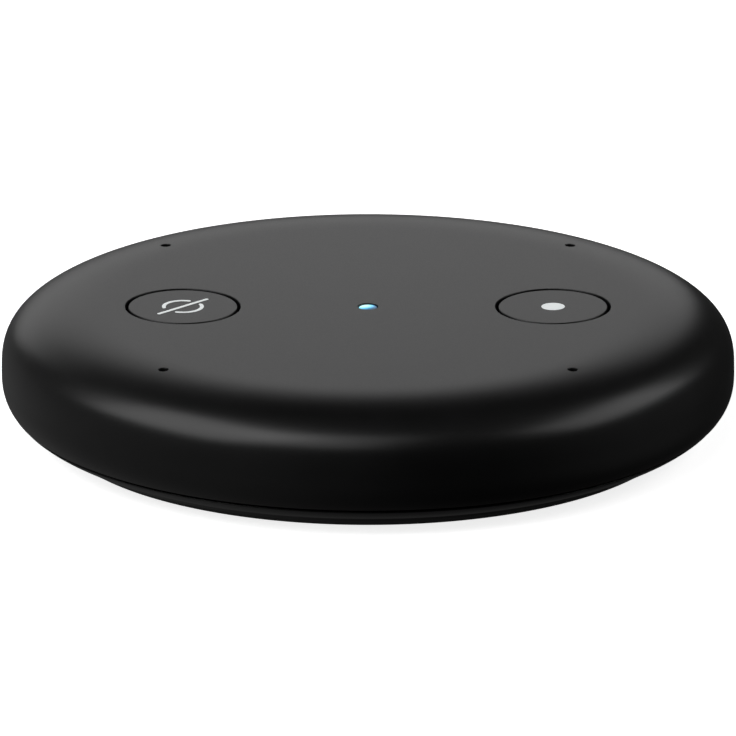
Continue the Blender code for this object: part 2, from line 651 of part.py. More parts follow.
def make_audio_socket(plastic, bright_metal, spring_metal):
    """A 3.5 mm socket: a moulded body with a round nose, a metal liner and three contacts."""
    back, front, nose = 23.4 * MM, PORT_WALL_Y - 0.7 * MM, POCKET_FLOOR_Y - 0.15 * MM
    half_width, half_height = 3.0 * MM, 2.4 * MM
    bore, lined_bore, liner_back = 1.8 * MM, 2.3 * MM, 33.6 * MM
    body = piece("audio_socket_body", plastic, [
        block((PORT_X - half_width, PORT_X + half_width), (back, front),
              (PORT_Z - half_height, PORT_Z + half_height))
    ])
    fuse(body, "audio_socket_nose", [round_y(AUDIO_NOSE_RADIUS, front - MM, nose)])
    cut(body, "audio_socket_bore", [round_y(bore, back + 0.8 * MM, nose + MM)])
    cut(body, "audio_socket_mouth", [round_y(lined_bore, liner_back, nose + 2 * MM)])
    contacts = {"tip": (26.0 * MM, -1), "ring": (29.0 * MM, 1), "sleeve": (32.0 * MM, -1)}
    slots = []
    for y, sign in contacts.values():
        near, far = PORT_X + sign * 1.2 * MM, PORT_X + sign * 4.0 * MM
        slots.append(block((min(near, far), max(near, far)), (y - 0.9 * MM, y + 0.9 * MM),
                           (PORT_Z - 0.25 * MM, PORT_Z + 0.85 * MM)))
    cut(body, "audio_socket_slots", slots)
    lining = round_y(2.2 * MM, liner_back + 0.1 * MM, nose)
    liner = piece("audio_socket_liner", bright_metal, [lining])
    cut(liner, "audio_liner_bore", [round_y(1.85 * MM, liner_back - MM, nose + MM)])

    foot_low = MAIN_BOARD_TOP + 0.1 * MM
    strip = mesh_from("audio_contact", [
        prism([
            (-4.9 * MM, foot_low), (-3.3 * MM, foot_low), (-3.3 * MM, 7.45 * MM),
            (-1.65 * MM, 7.45 * MM), (-1.65 * MM, 7.75 * MM), (-3.3 * MM, 7.75 * MM),
            (-3.3 * MM, 9.0 * MM), (-3.6 * MM, 9.0 * MM), (-3.6 * MM, foot_low + 0.25 * MM),
            (-4.9 * MM, foot_low + 0.25 * MM),
        ], -0.6 * MM, 0.6 * MM, "Y")
    ])
    for name, (y, sign) in contacts.items():
        turn = 0.0 if sign < 0 else math.pi
        place(f"audio_contact_{name}", strip, spring_metal, (PORT_X, y), turn)


def main():
    clear_scene()
    shell_black = material("shell_black", (0.018, 0.018, 0.019), 0.42)
    rubber = material("foot_rubber", (0.025, 0.025, 0.026), 0.85)
    tape = material("tape_white", (0.75, 0.74, 0.70), 0.7)
    steel = material("bright_steel", (0.62, 0.62, 0.63), 0.3, 1.0)
    plate_steel = material("plate_steel", (0.45, 0.46, 0.47), 0.45, 1.0)
    laminate = material("board_laminate", (0.02, 0.09, 0.05), 0.4)
    chip_black = material("chip_black", (0.03, 0.03, 0.03), 0.5)
    pad_grey = material("pad_grey", (0.45, 0.47, 0.50), 0.9)
    ferrite = material("ferrite", (0.12, 0.12, 0.13), 0.6)
    foam = material("gasket_foam", (0.03, 0.03, 0.03), 0.95)
    cloth = material("screen_cloth", (0.05, 0.05, 0.05), 0.9)
    clear_plastic = material("light_clear", (0.45, 0.85, 1.0), 0.15)
    led_white = material("led_white", (0.9, 0.9, 0.85), 0.3)
    gold = material("contact_gold", (0.85, 0.62, 0.25), 0.25, 1.0)
    connector = material("connector_black", (0.02, 0.02, 0.02), 0.5)

    make_top_cover(shell_black)
    make_bottom_cover(shell_black)
    make_foot(rubber, tape)
    make_case_screws(steel)
    for kind, spot in BUTTON_SPOTS.items():
        make_button(kind, spot, shell_black, connector, steel)
    make_light(clear_plastic, foam, led_white)
    make_microphones(gold, foam, cloth)
    make_upper_board(laminate, steel, connector)
    make_main_board(laminate)
    make_circuit(steel, chip_black, pad_grey, ferrite, gold)
    make_plate(plate_steel)
    make_charge_socket(steel, connector)
    make_audio_socket(connector, steel, gold)


main()
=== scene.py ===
# %% [markdown]
# # A round smart home hub, from frame to finish
#
# The hub is a flat black puck, 80 mm across and 14 mm high. Its frame comes ready made: every sub-part
# is already the right size and in the right place, but it is coarse, because it was made to be tested
# and not to be looked at. This lesson puts a fine surface round that frame, gives each part the finish
# that it would leave the factory with, and lights it as a product is lit in a studio.

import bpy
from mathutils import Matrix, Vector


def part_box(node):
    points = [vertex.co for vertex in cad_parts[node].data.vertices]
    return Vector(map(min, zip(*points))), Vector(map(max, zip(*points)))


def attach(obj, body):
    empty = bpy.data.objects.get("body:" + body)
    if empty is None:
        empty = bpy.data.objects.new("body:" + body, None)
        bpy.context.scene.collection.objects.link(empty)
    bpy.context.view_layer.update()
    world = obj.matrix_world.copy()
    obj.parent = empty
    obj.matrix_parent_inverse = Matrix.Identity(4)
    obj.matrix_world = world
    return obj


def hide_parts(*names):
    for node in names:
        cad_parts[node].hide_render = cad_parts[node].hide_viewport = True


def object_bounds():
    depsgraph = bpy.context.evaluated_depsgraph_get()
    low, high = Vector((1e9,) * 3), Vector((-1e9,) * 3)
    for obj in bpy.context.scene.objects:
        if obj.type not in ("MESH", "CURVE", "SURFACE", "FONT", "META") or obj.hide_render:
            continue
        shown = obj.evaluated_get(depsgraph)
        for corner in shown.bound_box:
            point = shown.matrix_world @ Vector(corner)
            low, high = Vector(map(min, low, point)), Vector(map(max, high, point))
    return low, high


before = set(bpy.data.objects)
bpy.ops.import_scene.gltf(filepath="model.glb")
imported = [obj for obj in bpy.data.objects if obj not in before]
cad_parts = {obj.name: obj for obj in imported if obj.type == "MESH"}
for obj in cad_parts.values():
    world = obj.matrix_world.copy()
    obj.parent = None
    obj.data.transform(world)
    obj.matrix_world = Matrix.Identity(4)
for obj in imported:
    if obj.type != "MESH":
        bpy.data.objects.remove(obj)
cad_low, cad_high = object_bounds()

# %% [markdown]
# ## Units and tools
#
# Blender counts in metres, and a hub is easier to think of in millimetres, so sizes are written as a
# number times MM. The meshes are worked out by numpy as whole arrays of points.

# %% Units and tools
import math

import bpy
import numpy as np
from mathutils import Vector
from mathutils.geometry import delaunay_2d_cdt

MM = 0.001
FULL_TURN = 2 * math.pi

# %% [markdown]
# ## From patches to one mesh
#
# A moulded shell has several surfaces: its skin, the rounded lips of its holes, their walls, its inside.
# Each is simple alone. It could all be one Boolean of solids, but that leaves long thin faces that shade
# badly next to a hole. So each surface is a patch of its own, with the exact normals of its formula, and
# the patches are welded where their edges meet. The mesh keeps those normals, so it shades as the true
# curve does.

# %% Weld patches into a mesh
WELD = 1e-4 * MM
OFF_GRID = 0.137  # keeps round numbers away from the edge between two weld keys


def grid_faces(rows, columns, loop_rows=False, loop_columns=True):
    """Corner numbers of the quads of a grid of points; a looped direction joins its end to its start."""
    row = np.arange(rows if loop_rows else rows - 1)[:, None]
    column = np.arange(columns if loop_columns else columns - 1)[None, :]
    next_row, next_column = (row + 1) % rows, (column + 1) % columns
    corners = [
        row * columns + column, row * columns + next_column,
        next_row * columns + next_column, next_row * columns + column,
    ]
    return np.stack(np.broadcast_arrays(*corners), -1).reshape(-1, 4)


def grid_patch(points, normals, loop_rows=False, loop_columns=True):
    """A patch from a rows x columns x 3 array of points, and one of normals."""
    rows, columns = points.shape[:2]
    faces = grid_faces(rows, columns, loop_rows, loop_columns)
    return points.reshape(-1, 3), np.broadcast_to(normals, points.shape).reshape(-1, 3), faces


def weld(patches):
    """All patches as (points, loops, loop normals, loop starts).

    Points closer than WELD become one. A face is turned round if the cross product of its diagonals
    points against its normals. A quad that lost a corner is a triangle, and one that lost two is gone.
    """
    starts = np.cumsum([0] + [len(patch[0]) for patch in patches[:-1]])
    points = np.concatenate([patch[0] for patch in patches])
    normals = np.concatenate([patch[1] for patch in patches])
    faces = np.concatenate([patch[2] + start for patch, start in zip(patches, starts)])
    a, b, c, d = (points[faces[:, k]] for k in range(4))
    crossed = np.cross(c - a, d - b)
    against = np.einsum("ij,ij->i", crossed, normals[faces].sum(1)) < 0
    faces[against] = faces[against, ::-1]
    keys = np.round(points / WELD + OFF_GRID).astype(np.int64)
    _, first, ids = np.unique(keys, axis=0, return_index=True, return_inverse=True)
    corners = ids.reshape(-1)[faces]
    kept = corners != np.roll(corners, -1, axis=1)
    kept &= (kept.sum(1) > 2)[:, None]
    counts = kept.sum(1)
    loop_starts = np.cumsum(counts[counts > 0]) - counts[counts > 0]
    return points[first], corners[kept], normals[faces[kept]], loop_starts


def open_edges(loops, loop_starts):
    """How many edges don't have exactly two faces."""
    ends = np.append(loop_starts[1:], len(loops)) - 1
    after = np.arange(len(loops)) + 1
    after[ends] = loop_starts
    pairs = np.sort(np.stack([loops, loops[after]], 1), axis=1)
    return int((np.unique(pairs, axis=0, return_counts=True)[1] != 2).sum())


def solid(name, patches):
    """A closed object whose patches are welded, with its place in its mesh."""
    points, loops, normals, loop_starts = weld(patches)
    mesh = bpy.data.meshes.new(name)
    mesh.vertices.add(len(points))
    mesh.vertices.foreach_set("co", points.astype(np.float32).ravel())
    mesh.loops.add(len(loops))
    mesh.loops.foreach_set("vertex_index", loops.astype(np.int32))
    mesh.polygons.add(len(loop_starts))
    mesh.polygons.foreach_set("loop_start", loop_starts.astype(np.int32))
    mesh.update(calc_edges=True)
    mesh.shade_smooth()
    lengths = np.linalg.norm(normals, axis=1, keepdims=True)
    mesh.normals_split_custom_set((normals / np.maximum(lengths, 1e-12)).tolist())
    obj = bpy.data.objects.new(name, mesh)
    bpy.context.scene.collection.objects.link(obj)
    print(f"{name}: {len(loop_starts)} faces, {open_edges(loops, loop_starts)} open edges")
    return obj


# %% [markdown]
# ## Rounded outlines
#
# Nothing that comes out of a mould or a press has a perfectly sharp edge: light catches a small round
# on every corner, and that thin line is much of what makes a render look real. So a profile is written
# as its corners, each with a radius, and one function turns them into points. It also gives the normal
# at each point, which is the travelling direction turned a quarter to the right, so an outline that
# runs counter-clockwise has normals that point out of the material.

# %% Rounded profiles
def right_of(direction):
    """Directions in the plane turned a quarter clockwise."""
    return np.stack([direction[..., 1], -direction[..., 0]], -1)


def rounded(corners, closed=False, step=math.radians(11)):
    """Points and normals of a line through (x, y, radius) corners.

    The arc at a corner starts radius * tan(turn / 2) before it, and its points are the arc's centre plus
    or minus radius times the normal, as the direction turns. At radius 0 the corner stands twice, once
    with each side's normal, so that the edge stays sharp.
    """
    places = np.array([corner[:2] for corner in corners], float)
    onward = np.roll(places, -1, axis=0) - places
    onward /= np.linalg.norm(onward, axis=1, keepdims=True)
    points, normals = [], []
    for k, (place, corner) in enumerate(zip(places, corners)):
        radius = corner[2] if len(corner) > 2 else 0.0
        before, after = onward[k - 1], onward[k]
        if not closed and k == 0:
            before = after
        if not closed and k == len(corners) - 1:
            after = before
        turn = math.atan2(before[0] * after[1] - before[1] * after[0], before @ after)
        count = 2 if radius == 0 else max(3, int(abs(turn) / step) + 2)
        if abs(turn) < 1e-9:
            count = 1
        angles = np.linspace(0, turn, count)[:, None]
        forward = before * np.cos(angles) + np.array([-before[1], before[0]]) * np.sin(angles)
        normal = right_of(forward)
        side = math.copysign(radius, turn)
        centre = place - before * radius * math.tan(abs(turn) / 2) - side * right_of(before)
        points.append(centre + side * normal)
        normals.append(normal)
    return np.concatenate(points), np.concatenate(normals)


def joined(*runs):
    """Several (points, normals) runs, one after another."""
    return np.concatenate([run[0] for run in runs]), np.concatenate([run[1] for run in runs])


def curve_run(points):
    """A smooth run through close points, with its normals from the differences between them."""
    along = np.gradient(points, axis=0, edge_order=2)
    return points, right_of(along / np.linalg.norm(along, axis=1, keepdims=True))


# %% [markdown]
# ## A profile carried along a path
#
# Almost every part of a hub is one profile carried round something: a foot is a profile turned round an
# axis, and a socket's shell is a small rectangle carried round a rounded outline. Blender's Screw and
# curve bevels do this too, but a formula gives exact normals and leaves nothing to clean up. Turning is
# the case in which the path is a circle of no radius.

# %% Carry a profile round an outline
def circle(centre=(0.0, 0.0), sides=128):
    """A turning path: every point is the centre, and the normals go once round."""
    angle = FULL_TURN * np.arange(sides) / sides
    return np.tile(np.array(centre, float), (sides, 1)), np.stack([np.cos(angle), np.sin(angle)], -1)


def in_space(plan, height, axis):
    """Flat points and their heights as x, y, z. Along Y, the flat points are (x, z)."""
    height = np.broadcast_to(height, plan.shape[:-1])
    order = [plan[..., 0], plan[..., 1], height] if axis == "Z" else [plan[..., 0], height, plan[..., 1]]
    return np.stack(order, -1)


def carried(profile, path, axis="Z", loop_rows=False, loop_columns=True):
    """A patch: path point + offset * path normal, at the profile's height.

    The profile's points are (offset, height). Its normal (a, b) becomes a * path normal + b * axis.
    """
    (points, normals), (spots, ways) = profile, path
    plan = spots[None] + points[:, 0, None, None] * ways[None]
    lean = normals[:, 0, None, None] * ways[None]
    space = in_space(plan, points[:, 1, None], axis)
    return grid_patch(space, in_space(lean, normals[:, 1, None], axis), loop_rows, loop_columns)


def turned(name, corners, centre=(0.0, 0.0), axis="Z", sides=128, closed=False):
    """A solid of revolution from its rounded corners."""
    profile = rounded(corners, closed)
    return solid(name, [carried(profile, circle(centre, sides), axis, loop_rows=closed)])


def lid(ring, normal):
    """A patch that closes a convex ring of points with a fan of faces to its middle."""
    middle = np.broadcast_to(ring.mean(0), ring.shape)
    return grid_patch(np.stack([ring, middle]), np.broadcast_to(normal, (2, *ring.shape)))


# %% [markdown]
# ## Sizes of the casing
#
# The puck's outside is made of simple curves: a flat top, a crown that rolls over the edge as a
# squared-off ellipse, a narrow upright band, and a tuck underneath that lifts the hub off the table.
# These few numbers give all of them. The widest radius and the height are read from the frame, and the
# printed difference shows that the curve lies on the frame's own top cover.

# %% Casing sizes
BODY_RADIUS = (cad_high.x - cad_low.x) / 2
BODY_HEIGHT = cad_high.z
FLAT_RADIUS, CROWN_POWER = 28.0 * MM, 2.8
BAND_TOP, BAND_LOW = 7.4 * MM, 6.6 * MM
TUCK_RADIUS, TUCK_DROP, TUCK_POWER = 28.0 * MM, 6.25 * MM, 2.5
INNER_RADIUS = BODY_RADIUS - 2.5 * MM
CEILING = BODY_HEIGHT - 1.8 * MM
COVER_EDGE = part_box("top_cover")[0].z
BASE_RIM = COVER_EDGE - 0.3 * MM
BUTTON_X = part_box("action_switch_plunger")[0].x / 2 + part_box("action_switch_plunger")[1].x / 2
BUTTON_RADIUS, BUTTON_GAP = 5.95 * MM, 0.35 * MM
SOUND_SPOTS = [
    tuple(np.mean([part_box(node)[k][:2] for k in (0, 1)], axis=0))
    for node in sorted(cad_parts) if node.startswith("mic_screen")
]
SOUND_RADIUS = 0.55 * MM
LIGHT_RADIUS = 1.0 * MM
LIGHT_HOLE = 1.12 * MM
PORT_X, PORT_Z = 7.5 * MM, 7.4 * MM
POCKET_FLOOR, PORT_WALL = 36.9 * MM, 35.2 * MM
print("button centres at", round(BUTTON_X / MM, 2), "mm, sound holes:", len(SOUND_SPOTS))


def crown(radius, height, count=90):
    """Points of |(r - flat) / reach|^n + |(z - band) / rise|^n = 1, from the flat top to the band."""
    angle = np.linspace(0, math.pi / 2, count)
    across = np.sin(angle) ** (2 / CROWN_POWER)
    up = np.abs(np.cos(angle)) ** (2 / CROWN_POWER)
    up[-1] = 0.0
    reach, rise = radius - FLAT_RADIUS, height - BAND_TOP
    return np.stack([FLAT_RADIUS + reach * across, BAND_TOP + rise * up], -1)


def tuck(high, low, count=40):
    """Points of r = t + (R - t) * (1 - drop^n)^(1/n), where drop is the depth below the band."""
    height = np.linspace(high, low, count)
    drop = (BAND_LOW - height) / TUCK_DROP
    swell = (1 - drop**TUCK_POWER) ** (1 / TUCK_POWER)
    return np.stack([TUCK_RADIUS + (BODY_RADIUS - TUCK_RADIUS) * swell, height], -1)


# %% [markdown]
# ## The cover's skin as one plan
#
# The top cover has seven round holes on top and two pockets behind. To put holes in a curved surface
# without a Boolean, the skin is first unrolled: a point of the plan at distance s from the middle goes
# to the place that lies s along the profile from the middle of the top. A hole is then only a closed
# line in that plan. A Delaunay triangulation fills the plan between the lines, and the formula lifts it
# onto the curve with exact normals. Quads in rings would be tidier away from the holes, but they can't
# meet a round hole without gaps, and exact normals make the triangles shade as smoothly.

# %% Unrolled profiles
class Unrolled:
    """A profile as tables of radius, height and normal by arc length from the axis."""

    def __init__(self, points):
        steps = np.linalg.norm(np.diff(points, axis=0), axis=1)
        keep = np.append(True, steps > 1e-9)
        points = points[keep]
        self.points = points
        self.length = np.append(0.0, np.cumsum(np.linalg.norm(np.diff(points, axis=0), axis=1)))
        along = np.gradient(points, self.length, axis=0)
        self.normals = -right_of(along / np.linalg.norm(along, axis=1, keepdims=True))
        self.widest = int(np.argmax(points[:, 0] > points[:, 0].max() - 1e-9))
        self.end = self.length[-1]

    def read(self, table, s):
        return np.stack([np.interp(s, self.length, table[:, k]) for k in (0, 1)], -1)

    def lift(self, plan, flip=1.0, wall=None):
        """Plan points on the surface: (r cos a, r sin a, z). A wall is a plane that y stays behind."""
        s, angle = np.hypot(*plan.T), np.arctan2(plan[:, 1], plan[:, 0])
        place, lean = self.read(self.points, s), self.read(self.normals, s) * flip
        round_way = np.stack([np.cos(angle), np.sin(angle)], -1)
        points = np.column_stack([place[:, :1] * round_way, place[:, 1]])
        normals = np.column_stack([lean[:, :1] * round_way, lean[:, 1]])
        if wall is not None:
            behind = points[:, 1] > wall
            points[behind, 1] = wall
            normals[behind] = (0.0, -1.0, 0.0)
        return points, normals

    def plan_from_above(self, outline):
        """Where points (x, y), seen from above, lie in the plan."""
        radius, angle = np.hypot(*outline.T), np.arctan2(outline[:, 1], outline[:, 0])
        table = slice(0, self.widest + 1)
        s = np.interp(radius, self.points[table, 0], self.length[table])
        return s[:, None] * np.stack([np.cos(angle), np.sin(angle)], -1)

    def plan_from_behind(self, outline):
        """Where points (x, z), seen from behind the hub, lie in the plan."""
        s = np.interp(-outline[:, 1], -self.points[:, 1], self.length)
        radius = np.interp(s, self.length, self.points[:, 0])
        depth = np.sqrt(np.maximum(radius**2 - outline[:, 0] ** 2, 0))
        return s[:, None] * np.stack([outline[:, 0], depth], -1) / radius[:, None]


COVER_LIP = 0.2 * MM
flat_top = np.stack([np.linspace(0, FLAT_RADIUS, 60), np.full(60, BODY_HEIGHT)], -1)
outside = Unrolled(np.concatenate([
    flat_top, crown(BODY_RADIUS, BODY_HEIGHT)[1:], tuck(BAND_LOW, COVER_EDGE + COVER_LIP),
]))
flat_ceiling = np.stack([np.linspace(0, FLAT_RADIUS, 60), np.full(60, CEILING)], -1)
inside = Unrolled(np.concatenate([
    flat_ceiling, crown(INNER_RADIUS, CEILING)[1:], [(INNER_RADIUS, COVER_EDGE)],
]))
cad = np.array([v.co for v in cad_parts["top_cover"].data.vertices])
cad_r = np.hypot(cad[:, 0], cad[:, 1])
on_crown = (cad_r > INNER_RADIUS + 0.1 * MM) & (cad[:, 2] > BAND_TOP) & (cad[:, 1] < 0)
expected = np.interp(-cad[on_crown, 2], -outside.points[:, 1], outside.points[:, 0])
print("largest difference from the frame's crown:",
      round(float(np.abs(expected - cad_r[on_crown]).max() / MM), 4), "mm")

# %% [markdown]
# ## Filling the plan
#
# The triangulation needs points inside the plan as well as on its lines: close rings where the surface
# bends, and only a few on the flat top. Points that would fall in a hole, or so near a line that they
# would make slivers, are left out.

# %% Triangulate a plan with holes
COVER_SIDES = 360


def holds(outline, points):
    """Which points an outline holds: a level ray from such a point crosses it an odd number of times."""
    (x1, y1), (x2, y2) = outline.T, np.roll(outline, -1, axis=0).T
    x, y = points[:, :1], points[:, 1:]
    spans = (y1 <= y) != (y2 <= y)
    crossing = x1 + (y - y1) * (x2 - x1) / np.where(y1 == y2, 1.0, y2 - y1)
    return (spans & (crossing > x)).sum(1) % 2 == 1


def ring_points(radius, count):
    return radius * circle(sides=count)[1]


def filled_plan(curve, holes, border_sides=COVER_SIDES):
    """Plan points and triangles between the border and the holes' outlines."""
    bend = curve.length[curve.widest]
    flat = FLAT_RADIUS * np.linspace(0.12, 0.96, 10)
    curved = np.arange(FLAT_RADIUS, curve.end - 0.15 * MM, 0.42 * MM)
    grid = [ring_points(r, max(12, int(120 * r / bend))) for r in flat]
    grid += [ring_points(r, border_sides) for r in curved]
    inner = np.concatenate(grid)
    for hole in holes:
        size = np.linalg.norm(hole - np.roll(hole, 1, axis=0), axis=1).mean()
        gaps = np.linalg.norm(inner[:, None] - hole[None], axis=2).min(1)
        inner = inner[~holds(hole, inner) & (gaps > max(1.2 * size, 0.25 * MM))]
    border = ring_points(curve.end, border_sides)
    loops = [border, *holes]
    plan = np.concatenate([*loops, inner])
    edges, start = [], 0
    for loop in loops:
        number = start + np.arange(len(loop))
        edges += np.stack([number, np.roll(number, -1)], -1).tolist()
        start += len(loop)
    made = delaunay_2d_cdt([Vector(p) for p in (plan / MM).tolist()], edges, [], 1, 1e-6)
    source = np.array([origin[0] for origin in made[3]])
    triangles = source[np.array(made[2])]
    middles = plan[triangles].mean(1)
    for hole in holes:
        triangles = triangles[~holds(hole, middles[: len(triangles)])]
        middles = plan[triangles].mean(1)
    return plan, np.column_stack([triangles, triangles[:, 2]])


# %% [markdown]
# ## Holes with rounded lips
#
# A moulded hole never starts with a sharp edge. Its lip is a small curve that leaves the skin along the
# skin and arrives in the wall along the wall. A quadratic Bezier curve does exactly that: its middle
# control point is where skin and wall would have met. The same formula serves a hole on the flat, on the
# crown, or a pocket in the side.

# %% Lips and walls
def unit(vectors):
    return vectors / np.maximum(np.linalg.norm(vectors, axis=-1, keepdims=True), 1e-12)


def lip_patch(start, corner, end, start_normals, inward):
    """(1-t)^2 start + 2t(1-t) corner + t^2 end, round a hole, with the normal across both directions."""
    t = np.linspace(0, 1, 7)[:, None, None]
    points = (1 - t) ** 2 * start + 2 * t * (1 - t) * corner + t**2 * end
    along = 2 * (1 - t) * (corner - start) + 2 * t * (end - corner)
    around = np.roll(points, -1, axis=1) - np.roll(points, 1, axis=1)
    normals = unit(np.cross(unit(along), unit(around)))
    flip = np.sign(np.einsum("ijk,ijk->ij", normals, start_normals[None] + inward[None]))
    normals *= flip[..., None]
    normals[0] = start_normals
    return grid_patch(points, normals)


def wall_patch(top, bottom, normals):
    """A straight wall between two rings."""
    return grid_patch(np.stack([top, bottom]), np.stack([normals, normals]))


def ring_outline(centre, radius, sides):
    """A round outline as (points, normals away from its middle)."""
    spots, ways = circle(centre, sides)
    return spots + radius * ways, ways


class Hole:
    """An opening in the cover: its outline, its lip, and the patches that line it."""

    def __init__(self, outline, lip, from_behind=False):
        self.points, self.ways = outline
        self.lip, self.axis = lip, "Y" if from_behind else "Z"
        place = outside.plan_from_behind if from_behind else outside.plan_from_above
        self.outer_plan = place(self.points + lip * self.ways)
        start, start_normals = outside.lift(self.outer_plan)
        corner, _ = outside.lift(place(self.points))
        down = in_space(np.zeros_like(self.ways), -1.0, self.axis)
        self.inward = in_space(-self.ways, 0.0, self.axis)
        self.wall_top = corner + lip * down
        self.patches = [lip_patch(start, corner, self.wall_top, start_normals, self.inward)]

    def open_to_ceiling(self):
        """Runs the wall down to the cover's inside."""
        self.inner_plan = inside.plan_from_above(self.points)
        bottom, _ = inside.lift(self.inner_plan, wall=PORT_WALL)
        self.patches.append(wall_patch(self.wall_top, bottom, self.inward))
        return self

    def open_to_socket(self, mouth, fillet):
        """Runs the wall to a flat pocket floor with a mouth in it that goes on to the inside."""
        floor_edge = in_space(self.points, POCKET_FLOOR + fillet, "Y")
        self.patches.append(wall_patch(self.wall_top, floor_edge, self.inward))
        base = rounded([
            (0.0, POCKET_FLOOR + fillet), (0.0, POCKET_FLOOR, fillet), (-2 * fillet, POCKET_FLOOR),
        ])
        self.patches.append(carried(base, (self.points, self.ways), "Y"))
        mouth_points, mouth_ways = mouth
        soft = 0.1 * MM
        facing = np.broadcast_to([0.0, 1.0, 0.0], (len(mouth_points), 3))
        floor = in_space(self.points - 2 * fillet * self.ways, POCKET_FLOOR, "Y")
        rim = in_space(mouth_points + soft * mouth_ways, POCKET_FLOOR, "Y")
        self.patches.append(wall_patch(floor, rim, facing))
        corner = in_space(mouth_points, POCKET_FLOOR, "Y")
        into = in_space(-mouth_ways, 0.0, "Y")
        start = corner + np.array([0.0, -soft, 0.0])
        self.patches.append(lip_patch(rim, corner, start, facing, into))
        self.inner_plan = inside.plan_from_behind(mouth_points)
        bottom, _ = inside.lift(self.inner_plan, wall=PORT_WALL)
        self.patches.append(wall_patch(start, bottom, into))
        return self


# %% [markdown]
# ## Where the holes are
#
# Two button openings, four sound holes and the light's hole are round, seen from above. Behind, the
# charging lead's plug needs a pocket with round ends, and the audio plug a round one, because their
# moulded grips are wider than the sockets.

# %% Place the holes
def rounded_rectangle(centre, width, height, radius):
    """A closed outline with rounded corners, as (points, normals)."""
    x, y = width / 2, height / 2
    spots = [(x, -y), (x, y), (-x, y), (-x, -y)]
    corners = [(centre[0] + a, centre[1] + b, radius) for a, b in spots]
    return rounded(corners, closed=True, step=math.radians(9))


KEY_HOLE = BUTTON_RADIUS + BUTTON_GAP
holes = [
    Hole(ring_outline((side * BUTTON_X, 0.0), KEY_HOLE, 144), 0.12 * MM).open_to_ceiling()
    for side in (-1, 1)
]
holes += [
    Hole(ring_outline(spot, SOUND_RADIUS, 40), 0.1 * MM).open_to_ceiling() for spot in SOUND_SPOTS
]
holes.append(Hole(ring_outline((0.0, 0.0), LIGHT_HOLE, 56), 0.06 * MM).open_to_ceiling())
charge_centre, audio_centre = (-PORT_X, PORT_Z), (PORT_X, PORT_Z)
charge_pocket = rounded_rectangle(charge_centre, 11.2 * MM, 6.8 * MM, 2.2 * MM)
charge_mouth = rounded_rectangle(charge_centre, 8.2 * MM, 3.2 * MM, 0.8 * MM)
holes.append(Hole(charge_pocket, 0.3 * MM, True).open_to_socket(charge_mouth, 0.3 * MM))
audio_pocket = ring_outline(audio_centre, 3.5 * MM, 72)
audio_mouth = ring_outline(audio_centre, 2.9 * MM, 72)
holes.append(Hole(audio_pocket, 0.2 * MM, True).open_to_socket(audio_mouth, 0.15 * MM))
print("openings in the cover:", len(holes))

# %% [markdown]
# ## The top cover
#
# The cover is its skin outside, its skin inside, the linings of the holes between them, and the lower
# edge that closes the shell. Behind, the inside is held flat at a wall that carries the sockets.

# %% Build the top cover
def skin_patch(curve, plans, flip=1.0, wall=None):
    plan, faces = filled_plan(curve, plans)
    points, normals = curve.lift(plan, flip, wall)
    return points, normals, faces


def cover_edge():
    """The rounded lower edge, and the flat face between it and the inside."""
    high, low = tuck(COVER_EDGE + COVER_LIP, COVER_EDGE, 2)
    shelf = low[0] - 4 * COVER_LIP
    points, normals = rounded([tuple(high), (*low, COVER_LIP), (shelf, COVER_EDGE)])
    path = circle(sides=COVER_SIDES)
    edge = carried((points, -normals), path)
    outer_ring = edge[0].reshape(-1, COVER_SIDES, 3)[-1]
    inner_ring, _ = inside.lift(ring_points(inside.end, COVER_SIDES), wall=PORT_WALL)
    facing = np.broadcast_to([0.0, 0.0, -1.0], inner_ring.shape)
    return [edge, wall_patch(outer_ring, inner_ring, facing)]


cover_patches = [skin_patch(outside, [hole.outer_plan for hole in holes])]
cover_patches.append(skin_patch(inside, [hole.inner_plan for hole in holes], -1.0, PORT_WALL))
cover_patches += [patch for hole in holes for patch in hole.patches]
cover_patches += cover_edge()
cover = solid("cover_shell", cover_patches)

# %% [markdown]
# ## Collars and posts under the cover
#
# Inside, a moulded cover is full of posts. A collar round each hole keeps light and sound from leaking
# into the hub. Four tall bosses take the case screws, and three short ones take the screws of the upper
# board. They are turned profiles, sunk a little into the ceiling so that they join it without a gap. The
# collars of the two buttons are open behind, where the small ear of the key goes through.

# %% Collars and bosses
COLLAR_LOW, POST_TOP = 11.1 * MM, CEILING + 0.4 * MM


def tube_profile(inner, outer, low, high, soft=0.1 * MM):
    """The closed section of a tube, softened at its lower corners."""
    return rounded([(inner, high), (inner, low, soft), (outer, low, soft), (outer, high)], closed=True)


def tube_patches(centre, inner, outer, low, high, sides=72):
    return [carried(tube_profile(inner, outer, low, high), circle(centre, sides), loop_rows=True)]


def arc_patches(section, centre, gap, sides):
    """A closed section carried round the centre, open within the angle gap on each side of +Y."""
    turn = np.linspace(math.pi / 2 + gap, 2.5 * math.pi - gap, sides)
    spots = np.tile(np.array(centre, float), (sides, 1))
    body = carried(section, (spots, np.stack([np.cos(turn), np.sin(turn)], -1)),
                   loop_rows=True, loop_columns=False)
    rings = body[0].reshape(-1, sides, 3)
    ends = [lid(rings[:, end], (way * math.cos(gap), math.sin(gap), 0.0))
            for end, way in ((0, 1), (-1, -1))]
    return [body, *ends]


def boss_patches(centre, radius, low, bore, bore_top):
    """A boss with a blind hole for a screw, open below."""
    soft = 0.12 * MM
    section = rounded([(0.0, bore_top), (bore, bore_top), (bore, low, soft), (radius, low, soft),
                       (radius, POST_TOP), (0.0, POST_TOP)])
    return [carried(section, circle(centre, 48))]


